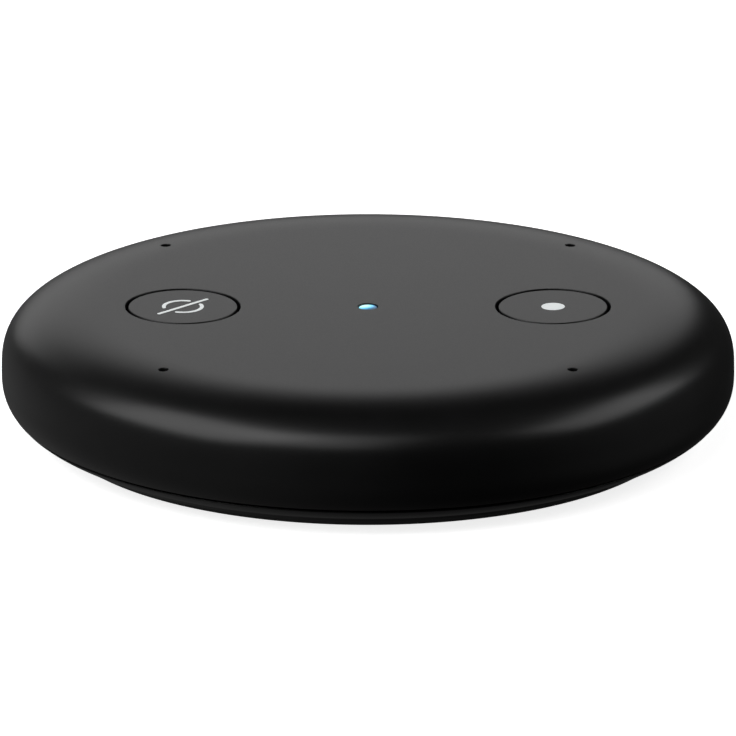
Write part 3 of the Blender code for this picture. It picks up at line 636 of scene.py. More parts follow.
SCREW_CIRCLE = 32.4 * MM
SCREW_SPOTS = [(SCREW_CIRCLE * math.cos(way), SCREW_CIRCLE * math.sin(way))
               for way in (math.radians(degrees) for degrees in (22, 158, 202, 338))]
BOARD_SCREW_SPOTS = [(0.0, 27.0 * MM), (-14.0 * MM, -27.0 * MM), (14.0 * MM, -27.0 * MM)]
KEY_SLOT = math.radians(9.0)
collars = []
for x, y in SOUND_SPOTS:
    collars += tube_patches((x, y), 2.5 * MM, 3.1 * MM, COLLAR_LOW, POST_TOP)
collars += tube_patches((0.0, 0.0), 2.1 * MM, 2.7 * MM, COLLAR_LOW, POST_TOP)
wide_section = tube_profile(7.6 * MM, 8.6 * MM, COLLAR_LOW, POST_TOP)
for side in (-1, 1):
    collars += arc_patches(wide_section, (side * BUTTON_X, 0.0), KEY_SLOT, 144)
for spot in SCREW_SPOTS:
    collars += boss_patches(spot, 2.6 * MM, 7.2 * MM, 1.05 * MM, 10.8 * MM)
for spot in BOARD_SCREW_SPOTS:
    collars += boss_patches(spot, 1.9 * MM, 10.95 * MM, 0.7 * MM, CEILING)
cover_collars = solid("cover_collars", collars)

# %% [markdown]
# ## The bottom cover
#
# The bottom cover carries the hub's weight and the tuck's lowest part. Its thin rim shows as a fine
# line just under the top cover, where the two shells meet in a narrow groove. It is one turned profile:
# a well below for the foot, the tuck outside, a rim, and a floor. The tongue that centres the top cover
# stands on the rim as an arc, because it has to leave room for the sockets behind.

# %% Build the bottom cover
FOOT_WELL, WELL_TOP = 34.9 * MM, 1.6 * MM
FLOOR_TOP, LOWEST = 2.7 * MM, 0.9 * MM
TONGUE_IN, TONGUE_OUT, TONGUE_TOP = 36.3 * MM, 37.1 * MM, 4.8 * MM
TONGUE_GAP = math.radians(20.5)

under_tuck = tuck(1.3 * MM, BASE_RIM - 0.12 * MM, 24)
rim_radius = tuck(BASE_RIM, BASE_RIM, 2)[0, 0]
base_profile = joined(
    rounded([(0.0, WELL_TOP), (FOOT_WELL, WELL_TOP, 0.15 * MM), (FOOT_WELL, LOWEST, 0.12 * MM),
             (FOOT_WELL + 0.5 * MM, LOWEST, 0.12 * MM), tuple(under_tuck[0])]),
    curve_run(under_tuck),
    rounded([tuple(under_tuck[-1]), (rim_radius, BASE_RIM, 0.12 * MM), (TONGUE_OUT, BASE_RIM),
             (TONGUE_IN - 0.4 * MM, BASE_RIM, 0.1 * MM), (TONGUE_IN - 0.4 * MM, FLOOR_TOP, 0.1 * MM),
             (0.0, FLOOR_TOP)]),
)
tongue_section = rounded([
    (TONGUE_IN, FLOOR_TOP + 0.1 * MM), (TONGUE_OUT, FLOOR_TOP + 0.1 * MM),
    (TONGUE_OUT, TONGUE_TOP, 0.3 * MM), (TONGUE_IN, TONGUE_TOP, 0.3 * MM),
], closed=True)
tongue = arc_patches(tongue_section, (0.0, 0.0), TONGUE_GAP, 320)
SUNK = FLOOR_TOP - 0.2 * MM
PIN_RADIUS, PIN_TOP = 1.2 * MM, 4.1 * MM
PIN_SPOTS = [(0.0, -25.0 * MM), (24.0 * MM, 14.0 * MM), (-24.0 * MM, 14.0 * MM)]
posts = []
for spot in SCREW_SPOTS:
    posts += tube_patches(spot, 1.15 * MM, 3.0 * MM, SUNK, 6.1 * MM)
for spot in PIN_SPOTS:
    pin = rounded([(0.0, SUNK), (PIN_RADIUS, SUNK), (PIN_RADIUS, PIN_TOP, 0.3 * MM), (0.0, PIN_TOP)])
    posts.append(carried(pin, circle(spot, 48)))
base = solid("base_shell", [carried(base_profile, circle(sides=360)), *tongue, *posts])

# %% [markdown]
# ## The rubber foot
#
# The foot is a soft disc stuck into the bottom cover's well, so that the hub doesn't slide. Real ones
# have a slightly raised border, which grips, round a plain middle. The border here stands only a tenth
# of a millimetre proud of the middle.

# %% Build the foot
foot = turned("grip_foot", [
    (0.0, 0.1 * MM), (31.4 * MM, 0.1 * MM, 0.1 * MM), (31.6 * MM, 0.0, 0.1 * MM),
    (33.9 * MM, 0.0, 0.25 * MM), (34.55 * MM, 0.65 * MM, 0.3 * MM), (34.6 * MM, 1.2 * MM), (0.0, 1.2 * MM),
], sides=256)

# %% [markdown]
# ## The two keys
#
# Each key is a shallow cap with a wide flange under the cover, so that it can't fall out, and a small
# stub that presses its switch. The small ear on the flange stops it turning, which keeps the printed
# mark straight. The upper edge has a fine round that catches the light beside the dark gap.

# %% Build the keys
KEY_TOP = BODY_HEIGHT - 0.03 * MM
STUB_RADIUS, STUB_LOW = 1.1 * MM, 12.15 * MM
HOLLOW_RADIUS, HOLLOW_TOP = 4.6 * MM, 12.9 * MM
FLANGE_RADIUS, FLANGE_LOW, FLANGE_TOP = 7.2 * MM, 11.4 * MM, 11.9 * MM
EAR_LOW, EAR_TOP = 11.42 * MM, 11.88 * MM


def key_patches(x):
    """The key's turned section, stub, hollow and flange included, and the ear behind it."""
    fine, soft = 0.1 * MM, 0.15 * MM
    section = rounded([
        (0.0, STUB_LOW), (STUB_RADIUS, STUB_LOW, fine), (STUB_RADIUS, HOLLOW_TOP, soft),
        (HOLLOW_RADIUS, HOLLOW_TOP, soft), (HOLLOW_RADIUS, FLANGE_LOW, fine),
        (FLANGE_RADIUS, FLANGE_LOW, fine), (FLANGE_RADIUS, FLANGE_TOP, fine),
        (BUTTON_RADIUS, FLANGE_TOP, soft), (BUTTON_RADIUS, KEY_TOP, 0.13 * MM), (0.0, KEY_TOP),
    ])
    ear = rounded_rectangle((x, 7.4 * MM), 2.0 * MM, 1.8 * MM, 0.3 * MM)
    ear_side = rounded([(-0.2 * MM, EAR_LOW), (0.0, EAR_LOW, 0.08 * MM),
                        (0.0, EAR_TOP, 0.08 * MM), (-0.2 * MM, EAR_TOP)])
    side = carried(ear_side, ear)
    rings = side[0].reshape(len(ear_side[0]), -1, 3)
    down, up = np.array([0.0, 0.0, -1.0]), np.array([0.0, 0.0, 1.0])
    return [carried(section, circle((x, 0.0), 144)), side, lid(rings[0], down), lid(rings[-1], up)]


action_key = solid("action_key", key_patches(BUTTON_X))
mute_key = solid("mute_key", key_patches(-BUTTON_X))

# %% [markdown]
# ## Printed marks
#
# The marks are ink: thin, flat, and a hair above the plastic. A mark could be painted by the key's
# material, but a thin layer of its own keeps a crisp edge at any distance and rides with its key. The
# mute mark is the usual barred circle, a ring that opens for a slanting bar.

# %% Print the marks
MARK_LOW, MARK_TOP = KEY_TOP - 0.02 * MM, BODY_HEIGHT
STROKE, RING_RADIUS = 0.42 * MM, 2.08 * MM


def stroke_patch(line, ways, width, ends):
    """A flat stroke along a line: point + v * half width * way, closed round its section.

    At each end the half width shrinks as sqrt(1 - t^2) while the line runs on by t * half width.
    """
    half, t = width / 2, np.sin(np.linspace(0, math.pi / 2, 9))[1:]
    head, tail = ends
    start = line[0] - t[::-1, None] * half * head
    stop = line[-1] + t[:, None] * half * tail
    spine = np.concatenate([start, line, stop])
    side = np.concatenate([np.repeat(ways[:1], 8, 0), ways, np.repeat(ways[-1:], 8, 0)])
    thin = np.sqrt(np.maximum(1 - t**2, 0))
    wide = half * np.concatenate([thin[::-1], np.ones(len(line)), thin])[:, None]
    left, right = spine + wide * side, spine - wide * side
    corners = [(right, MARK_LOW), (left, MARK_LOW), (left, MARK_TOP), (right, MARK_TOP)]
    points = np.stack([in_space(plan, z, "Z") for plan, z in corners], 1)
    out = in_space(side, 0.0, "Z")
    up = np.broadcast_to([0.0, 0.0, 1.0], out.shape)
    patches = []
    for a, b, facing in ((0, 1, -up), (1, 2, out), (2, 3, up), (3, 0, -out)):
        patches.append(grid_patch(points[:, [a, b]], facing[:, None], loop_columns=False))
    return patches


def arc_stroke(centre, radius, first, last):
    angle = np.radians(np.linspace(first, last, 72))
    ways = np.stack([np.cos(angle), np.sin(angle)], -1)
    along = np.stack([-ways[:, 1], ways[:, 0]], -1)
    return stroke_patch(np.array(centre) + radius * ways, ways, STROKE, (along[0], along[-1]))


def straight_stroke(centre, reach):
    way = np.array([math.sqrt(0.5), math.sqrt(0.5)])
    line = np.array(centre) + np.linspace(-reach, reach, 12)[:, None] * way
    ways = np.repeat([[-way[1], way[0]]], len(line), 0)
    return stroke_patch(line, ways, STROKE, (way, way))


MUTE_CENTRE = (-BUTTON_X, 0.0)
mute_mark = solid("mute_mark", [
    *arc_stroke(MUTE_CENTRE, RING_RADIUS, 72, 191), *arc_stroke(MUTE_CENTRE, RING_RADIUS, 252, 382),
    *straight_stroke(MUTE_CENTRE, 3.65 * MM),
])
action_dot = turned("action_dot", [
    (0.0, MARK_LOW), (1.28 * MM, MARK_LOW), (1.28 * MM, MARK_TOP, 0.01 * MM), (0.0, MARK_TOP),
], centre=(BUTTON_X, 0.0), sides=96)

# %% [markdown]
# ## The light's lens
#
# A clear plastic pin carries the light of a tiny lamp on the upper board up to a hole in the middle of
# the top. Its foot rests on a gasket, and its tip is slightly domed.

# %% Build the lens
DOME_RISE, DOME_LOW = 0.08 * MM, 13.9 * MM
DOME_RADIUS = LIGHT_RADIUS - 0.08 * MM
# height = low + rise * (1 - (r / radius)^2), from the dome's border to its middle
dome = np.linspace(0, 1, 16)[:, None] * np.array([-DOME_RADIUS, 0.0]) + np.array([DOME_RADIUS, DOME_LOW])
dome[:, 1] += DOME_RISE * (1 - (dome[:, 0] / DOME_RADIUS) ** 2)
dome[-1, 0] = 0.0
lens_stem = rounded([
    (0.0, 11.65 * MM), (1.2 * MM, 11.65 * MM, 0.05 * MM), (1.2 * MM, 11.85 * MM),
    (1.7 * MM, 11.85 * MM, 0.05 * MM), (1.7 * MM, 12.05 * MM, 0.05 * MM),
    (LIGHT_RADIUS, 12.05 * MM, 0.05 * MM), (LIGHT_RADIUS, 13.84 * MM, 0.04 * MM), tuple(dome[0]),
])
lens = solid("light_lens", [carried(joined(lens_stem, curve_run(dome)), circle(sides=64))])

# %% [markdown]
# ## The sockets behind
#
# The charging socket is a folded steel shell round a plastic tongue with five gold contacts. The audio
# socket is a plastic block with a round nose that comes through the cover, lined with metal. Both are
# carried or turned profiles. Their bores are open, as a plug needs them.

# %% Build the sockets
def bar_patches(outline, low, high, edge):
    """A bar along Y with a rounded outline and softened ends."""
    inset = -1.3 * edge
    profile = rounded([(inset, low), (0.0, low, edge), (0.0, high, edge), (inset, high)])
    side = carried(profile, outline, "Y")
    rings = side[0].reshape(len(profile[0]), -1, 3)
    way = np.array([0.0, 1.0, 0.0])
    return [side, lid(rings[0], -way), lid(rings[-1], way)]


def socket_outline(width, height, low_round, top_round):
    """The charging socket's outline, whose two lower corners are cut away more than the upper ones."""
    x, z = width / 2, height / 2
    corners = [(x, -z, low_round), (x, z, top_round), (-x, z, top_round), (-x, -z, low_round)]
    return rounded([(a - PORT_X, b + PORT_Z, r) for a, b, r in corners], closed=True,
                   step=math.radians(9))


shell_outline = socket_outline(7.6 * MM, 2.6 * MM, 0.9 * MM, 0.5 * MM)
shell_section = rounded([
    (-0.3 * MM, 31.3 * MM), (0.0, 31.3 * MM, 0.08 * MM), (0.0, 36.7 * MM, 0.1 * MM),
    (-0.3 * MM, 36.7 * MM, 0.1 * MM),
], closed=True)
charge_shell = solid("charge_shell", [carried(shell_section, shell_outline, "Y", loop_rows=True)])

base_outline = socket_outline(6.7 * MM, 1.7 * MM, 0.6 * MM, 0.3 * MM)
tongue_outline = rounded_rectangle((-PORT_X, 7.6 * MM), 3.8 * MM, 0.6 * MM, 0.12 * MM)
charge_core = solid("charge_core", [
    *bar_patches(base_outline, 31.5 * MM, 33.0 * MM, 0.1 * MM),
    *bar_patches(tongue_outline, 32.6 * MM, 36.2 * MM, 0.09 * MM),
])
CONTACTS, CONTACT_PITCH = 5, 0.65 * MM
contact_bars = []
for k in range(CONTACTS):
    spot = (-PORT_X + (k - CONTACTS // 2) * CONTACT_PITCH, 7.28 * MM)
    contact_bars += bar_patches(
        rounded_rectangle(spot, 0.36 * MM, 0.08 * MM, 0.03 * MM), 33.0 * MM, 35.9 * MM, 0.02 * MM)
charge_contacts = solid("charge_contacts", contact_bars)

audio_low, audio_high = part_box("audio_socket_body")
NOSE_RADIUS, BORE_RADIUS, NOSE_END, BLOCK_FRONT = 2.75 * MM, 1.8 * MM, 36.75 * MM, 34.5 * MM


def refined(outline, step):
    """A closed outline with points added on its straight runs, every step along it."""
    points, normals = (np.concatenate([part, part[:1]]) for part in outline)
    along = np.append(0.0, np.cumsum(np.linalg.norm(np.diff(points, axis=0), axis=1)))
    places = np.unique(np.concatenate([along[:-1], np.arange(0, along[-1] - step / 2, step)]))
    read = [np.stack([np.interp(places, along, part[:, k]) for k in (0, 1)], -1)
            for part in (points, normals)]
    return read[0], unit(read[1])


def audio_block():
    """A block along Y whose front face runs into a round nose with a bore."""
    width, height = audio_high.x - audio_low.x, audio_high.z - audio_low.z
    spots, facing = refined(rounded_rectangle(audio_centre, width, height, 0.3 * MM), 0.25 * MM)
    ways = unit(spots - np.array(audio_centre))
    back, front = (in_space(spots, y, "Y") for y in (audio_low.y, BLOCK_FRONT))
    nose = rounded([
        (NOSE_RADIUS, BLOCK_FRONT), (NOSE_RADIUS, NOSE_END, 0.15 * MM), (2.3 * MM, NOSE_END, 0.1 * MM),
        (2.3 * MM, 33.6 * MM), (BORE_RADIUS, 33.6 * MM), (BORE_RADIUS, 24.6 * MM), (0.0, 24.6 * MM),
    ])
    middle = np.broadcast_to(np.array(audio_centre), ways.shape)
    collar = in_space(middle + NOSE_RADIUS * ways, BLOCK_FRONT, "Y")
    ahead = np.broadcast_to([0.0, 1.0, 0.0], collar.shape)
    return [
        lid(back, np.array([0.0, -1.0, 0.0])), wall_patch(back, front, in_space(facing, 0.0, "Y")),
        wall_patch(front, collar, ahead), carried(nose, (middle, ways), "Y"),
    ]


audio_body = solid("audio_block", audio_block())
audio_liner = turned("audio_liner", [
    (1.85 * MM, 33.7 * MM), (2.2 * MM, 33.7 * MM), (2.2 * MM, 36.75 * MM, 0.08 * MM),
    (1.85 * MM, 36.75 * MM, 0.12 * MM),
], centre=audio_centre, axis="Y", sides=96, closed=True)

# %% [markdown]
# ## Each piece takes its place in the assembly
#
# A fine piece rides on the same body as the coarse one that it stands for, so that the keys still go
# down when they are pressed. The pieces without a coarse twin, such as the marks, ride on what they are
# printed on or pressed into.

# %% Riding and replacing
PLACES = [
    (cover, "hub_body", "shell_black", ["top_cover"]),
    (cover_collars, "hub_body", "shell_black", []),
    (base, "hub_body", "shell_black", ["bottom_cover"]),
    (foot, "hub_body", "foot_rubber", ["rubber_foot"]),
    (action_key, "action_button", "button_black", ["action_button_cap"]),
    (mute_key, "mute_button", "button_black", ["mute_button_cap"]),
    (action_dot, "action_button", "led_white", []),
    (mute_mark, "mute_button", "led_white", []),
    (lens, "hub_body", "light_clear", ["light_pipe"]),
    (charge_shell, "hub_body", "socket_steel", ["charge_socket_shell"]),
    (charge_core, "hub_body", "connector_black", ["charge_socket_core"]),
    (charge_contacts, "hub_body", "contact_gold", []),
    (audio_body, "hub_body", "connector_black", ["audio_socket_body"]),
    (audio_liner, "hub_body", "socket_steel", ["audio_socket_liner"]),
]
for piece, body, slot, stands_for in PLACES:
    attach(piece, body)
    if stands_for:
        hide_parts(*stands_for)
print("pieces placed:", len(PLACES))

# %% [markdown]
# ## Finishes
#
# No real surface has one colour. Moulded plastic has a faint cloudiness and the fine pits of its
# spark-eroded mould, rubber has dust in it, a stamped sheet has rolling lines. Each finish here is a
# small node recipe with the same three layers: a cloud that mixes two near colours, a finer grain that
# varies the roughness, and the same grain as relief. Everything is measured in the piece's own
# coordinates, in metres, so a pattern stays on its piece when the piece moves. The one thing that the
# frame's own parts need is this paint, because their shapes stay as they are.

# %% The recipe
class Recipe:
    """A material under construction: nodes, links and the shader."""

    def __init__(self, name):
        self.material = bpy.data.materials.new(name)
        self.material.use_nodes = True
        self.tree = self.material.node_tree
        self.shader = self.tree.nodes["Principled BSDF"]
        self.place = self.add("ShaderNodeTexCoord").outputs["Object"]

    def add(self, kind, links=(), **values):
        """A node with its settings; links are (socket name or number, source)."""
        node = self.tree.nodes.new(kind)
        for key, value in values.items():
            setattr(node, key, value)
        for socket, source in links:
            self.connect(source, node.inputs[socket])
        return node

    def connect(self, source, socket):
        if isinstance(source, (int, float, tuple)):
            socket.default_value = source
        else:
            self.tree.links.new(source, socket)

    def noise(self, size, detail=3.0, roughness=0.55, stretch=None):
        """Noise whose features are about size across; stretch squeezes it along each axis."""
        place = self.place
        if stretch:
            place = self.add("ShaderNodeMapping", [("Vector", place), ("Scale", stretch)]).outputs[0]
        node = self.add("ShaderNodeTexNoise", [
            ("Vector", place), ("Scale", 1 / size), ("Detail", detail), ("Roughness", roughness)])
        return node.outputs["Fac"]

    def mix(self, factor, dark, light):
        node = self.add("ShaderNodeMix", data_type="RGBA")
        for socket, source in ((0, factor), (6, (*dark, 1.0)), (7, (*light, 1.0))):
            self.connect(source, node.inputs[socket])
        return node.outputs[2]

    def between(self, factor, low, high, start=0.3, stop=0.7):
        """The factor, from start to stop, spread from low to high."""
        return self.add("ShaderNodeMapRange", [
            (0, factor), (1, start), (2, stop), (3, low), (4, high)]).outputs[0]

    def relief(self, height, depth, strength=1.0):
        node = self.add("ShaderNodeBump", [
            ("Height", height), ("Distance", depth), ("Strength", strength)])
        self.tree.links.new(node.outputs[0], self.shader.inputs["Normal"])

    def shade(self, **sockets):
        for name, source in sockets.items():
            self.connect(source, self.shader.inputs[name.replace("_", " ")])


def cloudy(name, dark, light, rough, grain, depth, metallic=0.0, cloud=6 * MM, stretch=None, **more):
    """The common recipe: clouds of two colours, and a grain in roughness and relief."""
    recipe = Recipe(name)
    clouds = recipe.noise(cloud, 4.0)
    fine = recipe.noise(grain, 2.0, 0.6, stretch)
    recipe.shade(
        Base_Color=recipe.mix(recipe.between(clouds, 0.0, 1.0), dark, light),
        Roughness=recipe.between(fine, *rough), Metallic=metallic, **more)
    recipe.relief(fine, depth)
    return recipe


# %% [markdown]
# ## Plastics and rubber
#
# The casing and the keys are the same black plastic, moulded with a fine matt texture. The texture is
# what spreads the studio's lights into soft bands. It is finer than the eye can separate, so the
# roughness does most of the work and the relief only breaks it up.

# %% Mix the plastics
finishes = {}
NEAR_BLACK = (0.0035, 0.0035, 0.0036), (0.005, 0.005, 0.0052)
PLASTICS = [  # slot, name, two colours, roughness, grain and depth in millimetres
    ("foot_rubber", "dusty_rubber", (0.022, 0.022, 0.023), (0.034, 0.034, 0.035), (0.62, 0.80), 0.25,
     0.02),
    ("switch_plastic", "switch_nylon", (0.045, 0.045, 0.047), (0.06, 0.06, 0.062), (0.42, 0.55), 0.15,
     0.006),
    ("connector_black", "connector_nylon", (0.014, 0.014, 0.015), (0.02, 0.02, 0.021), (0.32, 0.45),
     0.15, 0.006),
    ("chip_black", "chip_resin", (0.012, 0.012, 0.013), (0.02, 0.02, 0.021), (0.38, 0.5), 0.08, 0.003),
    ("pad_grey", "heat_pad", (0.23, 0.25, 0.27), (0.3, 0.32, 0.34), (0.6, 0.75), 0.3, 0.02),
    ("gasket_foam", "foam", (0.02, 0.02, 0.02), (0.035, 0.035, 0.035), (0.8, 0.95), 0.2, 0.06),
    ("tape_white", "tape", (0.55, 0.55, 0.53), (0.68, 0.68, 0.66), (0.45, 0.6), 0.4, 0.01),
    ("ferrite", "ferrite", (0.03, 0.03, 0.032), (0.05, 0.049, 0.05), (0.5, 0.7), 0.1, 0.01),
]


def paint(slot, recipe):
    finishes[slot] = recipe.material


for slot, name in (("shell_black", "matt_shell"), ("button_black", "matt_key")):
    paint(slot, cloudy(name, *NEAR_BLACK, (0.30, 0.37), 0.09 * MM, 0.003 * MM, Specular_IOR_Level=0.35))
for slot, name, dark, light, rough, grain, depth in PLASTICS:
    paint(slot, cloudy(name, dark, light, rough, grain * MM, depth * MM))

# %% [markdown]
# ## Metals
#
# Sheet metal shows the direction it was worked in: its grain is the same noise, drawn out along it. The
# gold of the contacts is thin and bright, and the ballast is plain zinc-plated steel.

# %% Mix the metals
METALS = [  # as the plastics, then anything more that the recipe takes
    ("shield_metal", "tinned_sheet", (0.52, 0.51, 0.49), (0.62, 0.61, 0.59), (0.28, 0.42), 0.2, 0.003,
     {"stretch": (0.06, 1.0, 1.0)}),
    ("plate_steel", "zinc_plate", (0.42, 0.43, 0.44), (0.56, 0.57, 0.58), (0.35, 0.5), 0.5, 0.008,
     {"cloud": 4 * MM}),
    ("socket_steel", "nickel_shell", (0.72, 0.71, 0.69), (0.8, 0.79, 0.77), (0.38, 0.46), 0.15, 0.0006,
     {"stretch": (1.0, 0.1, 1.0)}),
    ("screw_steel", "black_screw", (0.06, 0.06, 0.065), (0.1, 0.1, 0.105), (0.3, 0.45), 0.15, 0.006, {}),
    ("contact_gold", "thin_gold", (0.86, 0.58, 0.24), (0.92, 0.66, 0.32), (0.3, 0.42), 0.1, 0.0006, {}),
    ("mic_metal", "mic_can", (0.6, 0.56, 0.47), (0.7, 0.66, 0.57), (0.28, 0.4), 0.12, 0.003, {}),
    ("antenna_metal", "antenna_foil", (0.62, 0.36, 0.2), (0.72, 0.46, 0.28), (0.3, 0.42), 0.2, 0.003, {}),
]
for slot, name, dark, light, rough, grain, depth, more in METALS:
    paint(slot, cloudy(name, dark, light, rough, grain * MM, depth * MM, 1.0, **more))

# %% [markdown]
# ## The circuit boards, the screens and the lamp
#
# A board is black lacquer over copper: the copper's lines stand up under the lacquer as a faint pattern
# of blocks, here a cell pattern whose borders are lighter. The sound screens are woven, so their recipe
# is two sine waves at right angles.

# %% Mix the special finishes
board = Recipe("black_lacquer")
cells = board.add("ShaderNodeTexVoronoi", [("Vector", board.place), ("Scale", 1 / (2.2 * MM))],
                  distance="CHEBYCHEV", feature="F2").outputs["Distance"]
lines = board.between(cells, 0.0, 1.0, 0.55, 0.6)
board.shade(Base_Color=board.mix(lines, (0.008, 0.022, 0.014), (0.014, 0.042, 0.026)),
            Roughness=board.between(board.noise(0.3 * MM), 0.24, 0.36))
board.relief(lines, 0.03 * MM, 0.6)
paint("board_laminate", board)

screen = Recipe("woven_screen")
weave = [
    screen.add("ShaderNodeTexWave", [("Vector", screen.place), ("Scale", 1 / (0.9 * MM))],
               bands_direction=way).outputs["Fac"] for way in ("X", "Y")
]
cloth = screen.add("ShaderNodeMath", [(0, weave[0]), (1, weave[1])], operation="MULTIPLY").outputs[0]
screen.shade(Base_Color=screen.mix(cloth, (0.01, 0.01, 0.01), (0.05, 0.05, 0.052)), Roughness=0.6)
screen.relief(cloth, 0.02 * MM)
paint("screen_cloth", screen)

# %% [markdown]
# ## Ink and light
#
# White ink on black plastic is never quite even, so its recipe is the common one with very little
# contrast. The ink also has a faint painted glow, an emission with no lamp behind it, that makes the
# marks read whiter than the studio lights make them. The lens is lit from below: white-hot where the lamp
# stands, cyan round it, and deep blue at the rim, where the light has to bend furthest. That is a distance
# from the lamp, turned into a colour and a strength.

# %% Mix the ink and the lit lens
# The ink's emission below is a painted glow: the marks are printed, and no lamp lights them.
paint("led_white", cloudy(
    "white_ink_painted_glow", (0.86, 0.91, 0.91), (0.92, 0.95, 0.95), (0.45, 0.55), 0.06 * MM, 0.001 * MM,
    cloud=1.5 * MM, Emission_Color=(1.0, 1.0, 1.0, 1.0), Emission_Strength=0.08))



def set_stops(ramp, stops):
    """Gives a new colour ramp its (position, colour) stops; it already owns a first and a last one."""
    owned = ramp.color_ramp.elements
    for stop, (position, colour) in zip((owned[0], owned[1]), (stops[0], stops[-1])):
        stop.position, stop.color = position, colour
    for position, colour in stops[1:-1]:
        owned.new(position).color = colour


glow = Recipe("lit_lens")
centred = glow.add("ShaderNodeMapping", [
    ("Vector", glow.place), ("Location", (0.45 * MM, -0.45 * MM, 0.0)), ("Scale", (1.0, 1.0, 0.0))])
reach = glow.add("ShaderNodeVectorMath", [(0, centred.outputs[0])], operation="LENGTH").outputs["Value"]
ramp = glow.add("ShaderNodeValToRGB", [(0, glow.between(reach, 0.0, 1.0, 0.0, 1.4 * MM))])
set_stops(ramp, [
    (0.3, (0.6, 0.97, 1.0, 1.0)), (0.48, (0.3, 0.85, 1.0, 1.0)), (0.7, (0.1, 0.55, 0.9, 1.0)),
    (0.86, (0.01, 0.13, 0.36, 1.0)), (1.0, (0.0, 0.02, 0.1, 1.0)),
])
glow.shade(Base_Color=(0.1, 0.2, 0.22, 1.0), Roughness=0.3, Emission_Color=ramp.outputs[0],
           Emission_Strength=1.0)
glow.relief(glow.noise(0.3 * MM), 0.004 * MM)
paint("light_clear", glow)
print("finishes:", len(finishes))

# %% [markdown]
# ## Paint everything
#
# The new pieces take their finish by slot, and so do the frame's own parts.

# %% Assign the finishes
for piece, body, slot, stands_for in PLACES:
    piece.data.materials.append(finishes[slot])
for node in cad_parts.values():
    for holder in node.material_slots:
        holder.material = finishes[holder.material.name.split(".")[0]]
print("painted", len(PLACES), "pieces and", len(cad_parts), "frame parts")

# %% [markdown]
# ## The studio
#
# A black object is lit by what it reflects. The flat top faces a bright panel low behind the hub, which
# turns it grey. The crown turns its reflection over the dark ceiling, so it falls to black, and then
# catches three soft boxes, at the left, in front and at the right, as a soft band. The floor is plain
# and pale. It is kept out of reflections and lights nothing, and only the camera sees the air as white.

# %% Floor, world and lights
FLOOR_REACH = 3.0
floor_mesh = bpy.data.meshes.new("studio_floor")
floor_mesh.from_pydata(
    [(x * FLOOR_REACH, y * FLOOR_REACH, 0.0) for x, y in ((-1, -1), (1, -1), (1, 1), (-1, 1))], [],
    [(0, 1, 2, 3)])
floor = bpy.data.objects.new("studio_floor", floor_mesh)
bpy.context.scene.collection.objects.link(floor)
paper = cloudy("pale_paper", (0.9, 0.9, 0.9), (0.93, 0.93, 0.93), (0.8, 0.9), 3 * MM, 0.01 * MM,
               cloud=80 * MM)
paper.shade(Emission_Color=(1.0, 1.0, 1.0, 1.0), Emission_Strength=0.82)
floor_mesh.materials.append(paper.material)
floor.visible_glossy = False
floor.visible_diffuse = False

world = bpy.data.worlds.new("studio_air")
bpy.context.scene.world = world
world.use_nodes = True
air = world.node_tree
background = air.nodes["Background"]


def air_node(kind, links, **values):
    """A world node; links are (input number, source or value)."""
    node = air.nodes.new(kind)
    for key, value in values.items():
        setattr(node, key, value)
    for socket, source in links:
        if isinstance(source, (int, float)):
            node.inputs[socket].default_value = source
        else:
            air.links.new(source, node.inputs[socket])
    return node


outward = air.nodes.new("ShaderNodeTexCoord").outputs["Generated"]
way = air_node("ShaderNodeSeparateXYZ", [(0, outward)])
across = air_node("ShaderNodeMapRange", [
    (0, way.outputs[0]), (1, -1.0), (2, 1.0), (3, 0.0), (4, 1.0)])
fill = air_node("ShaderNodeValToRGB", [(0, across.outputs[0])])
FILL = [(0.0, 0.2), (0.25, 0.16), (0.5, 0.06), (0.7, 0.02), (0.85, 0.03), (1.0, 0.14)]
set_stops(fill, [(position, (grey, grey, grey, 1.0)) for position, grey in FILL])
low_down = air_node("ShaderNodeMapRange", [(0, way.outputs[2]), (1, 0.0), (2, 0.5), (3, 1.0), (4, 0.0)])
dim = air_node("ShaderNodeMath", [(0, fill.outputs[0]), (1, low_down.outputs[0])], operation="MULTIPLY")
rays = air.nodes.new("ShaderNodeLightPath")
spread = air_node("ShaderNodeMapRange", [
    (0, rays.outputs["Is Camera Ray"]), (3, dim.outputs[0]), (4, 1.0)])
air.links.new(spread.outputs[0], background.inputs["Strength"])
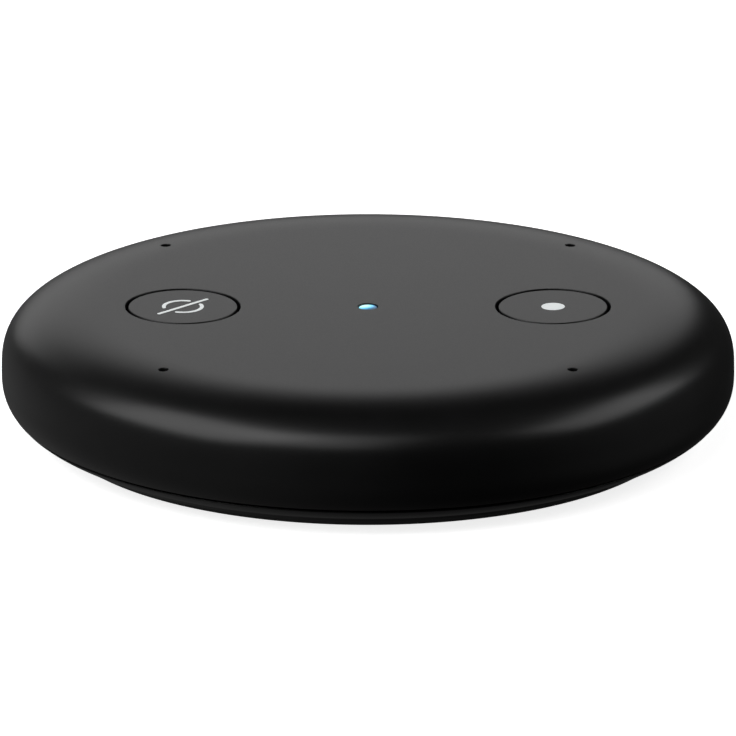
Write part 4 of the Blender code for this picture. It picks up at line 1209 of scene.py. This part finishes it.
background.inputs["Color"].default_value = (1.0, 1.0, 1.0, 1.0)


def soft_box(name, direction, distance, size, power):
    """A rectangular light facing the hub, in the direction (azimuth from +Y to +X, elevation)."""
    azimuth, elevation = (math.radians(angle) for angle in direction)
    way = Vector((math.sin(azimuth) * math.cos(elevation), math.cos(azimuth) * math.cos(elevation),
                  math.sin(elevation)))
    lamp = bpy.data.lights.new(name, "AREA")
    lamp.shape, lamp.size, lamp.size_y = "RECTANGLE", size[0], size[1]
    lamp.energy = power
    holder = bpy.data.objects.new(name, lamp)
    holder.location = Vector((0.0, 0.0, 10.0 * MM)) + distance * way
    holder.rotation_euler = way.to_track_quat("Z", "Y").to_euler()
    holder.visible_camera = False
    bpy.context.scene.collection.objects.link(holder)


soft_box("back_panel", (-9.0, 15.5), 0.28, (0.256, 0.1), 0.07)
soft_box("left_box", (-107.0, 47.0), 0.8, (0.78, 0.62), 4.6)
soft_box("front_box", (-158.0, 53.0), 0.8, (0.5, 0.54), 1.35)
soft_box("right_box", (83.0, 37.0), 0.8, (0.76, 0.38), 1.95)
print("lights:", len(bpy.data.lights))

# %% [markdown]
# ## The camera
#
# The hub is seen from the front and a little above, through a very long lens, so that its far side is
# nearly as wide as its near side. The distance is worked out from the width that the view should hold.

# %% Set the camera
CAMERA_RISE = math.radians(17.9)
VIEW_WIDTH = 80.37 * MM
camera_data = bpy.data.cameras.new("studio_camera")
camera_data.lens, camera_data.sensor_width = 1500.0, 36.0
camera_data.clip_start, camera_data.clip_end = 0.1, 20.0
camera = bpy.data.objects.new("studio_camera", camera_data)
bpy.context.scene.collection.objects.link(camera)
throw = VIEW_WIDTH * camera_data.lens / camera_data.sensor_width
target = Vector((0.0, 0.0, 6.93 * MM))
camera.location = target + throw * Vector((0.0, -math.cos(CAMERA_RISE), math.sin(CAMERA_RISE)))
camera.rotation_euler = (math.pi / 2 - CAMERA_RISE, 0.0, 0.0)
bpy.context.scene.camera = camera
bpy.context.scene.view_settings.view_transform = "Standard"
print("camera", round(throw, 3), "m away")
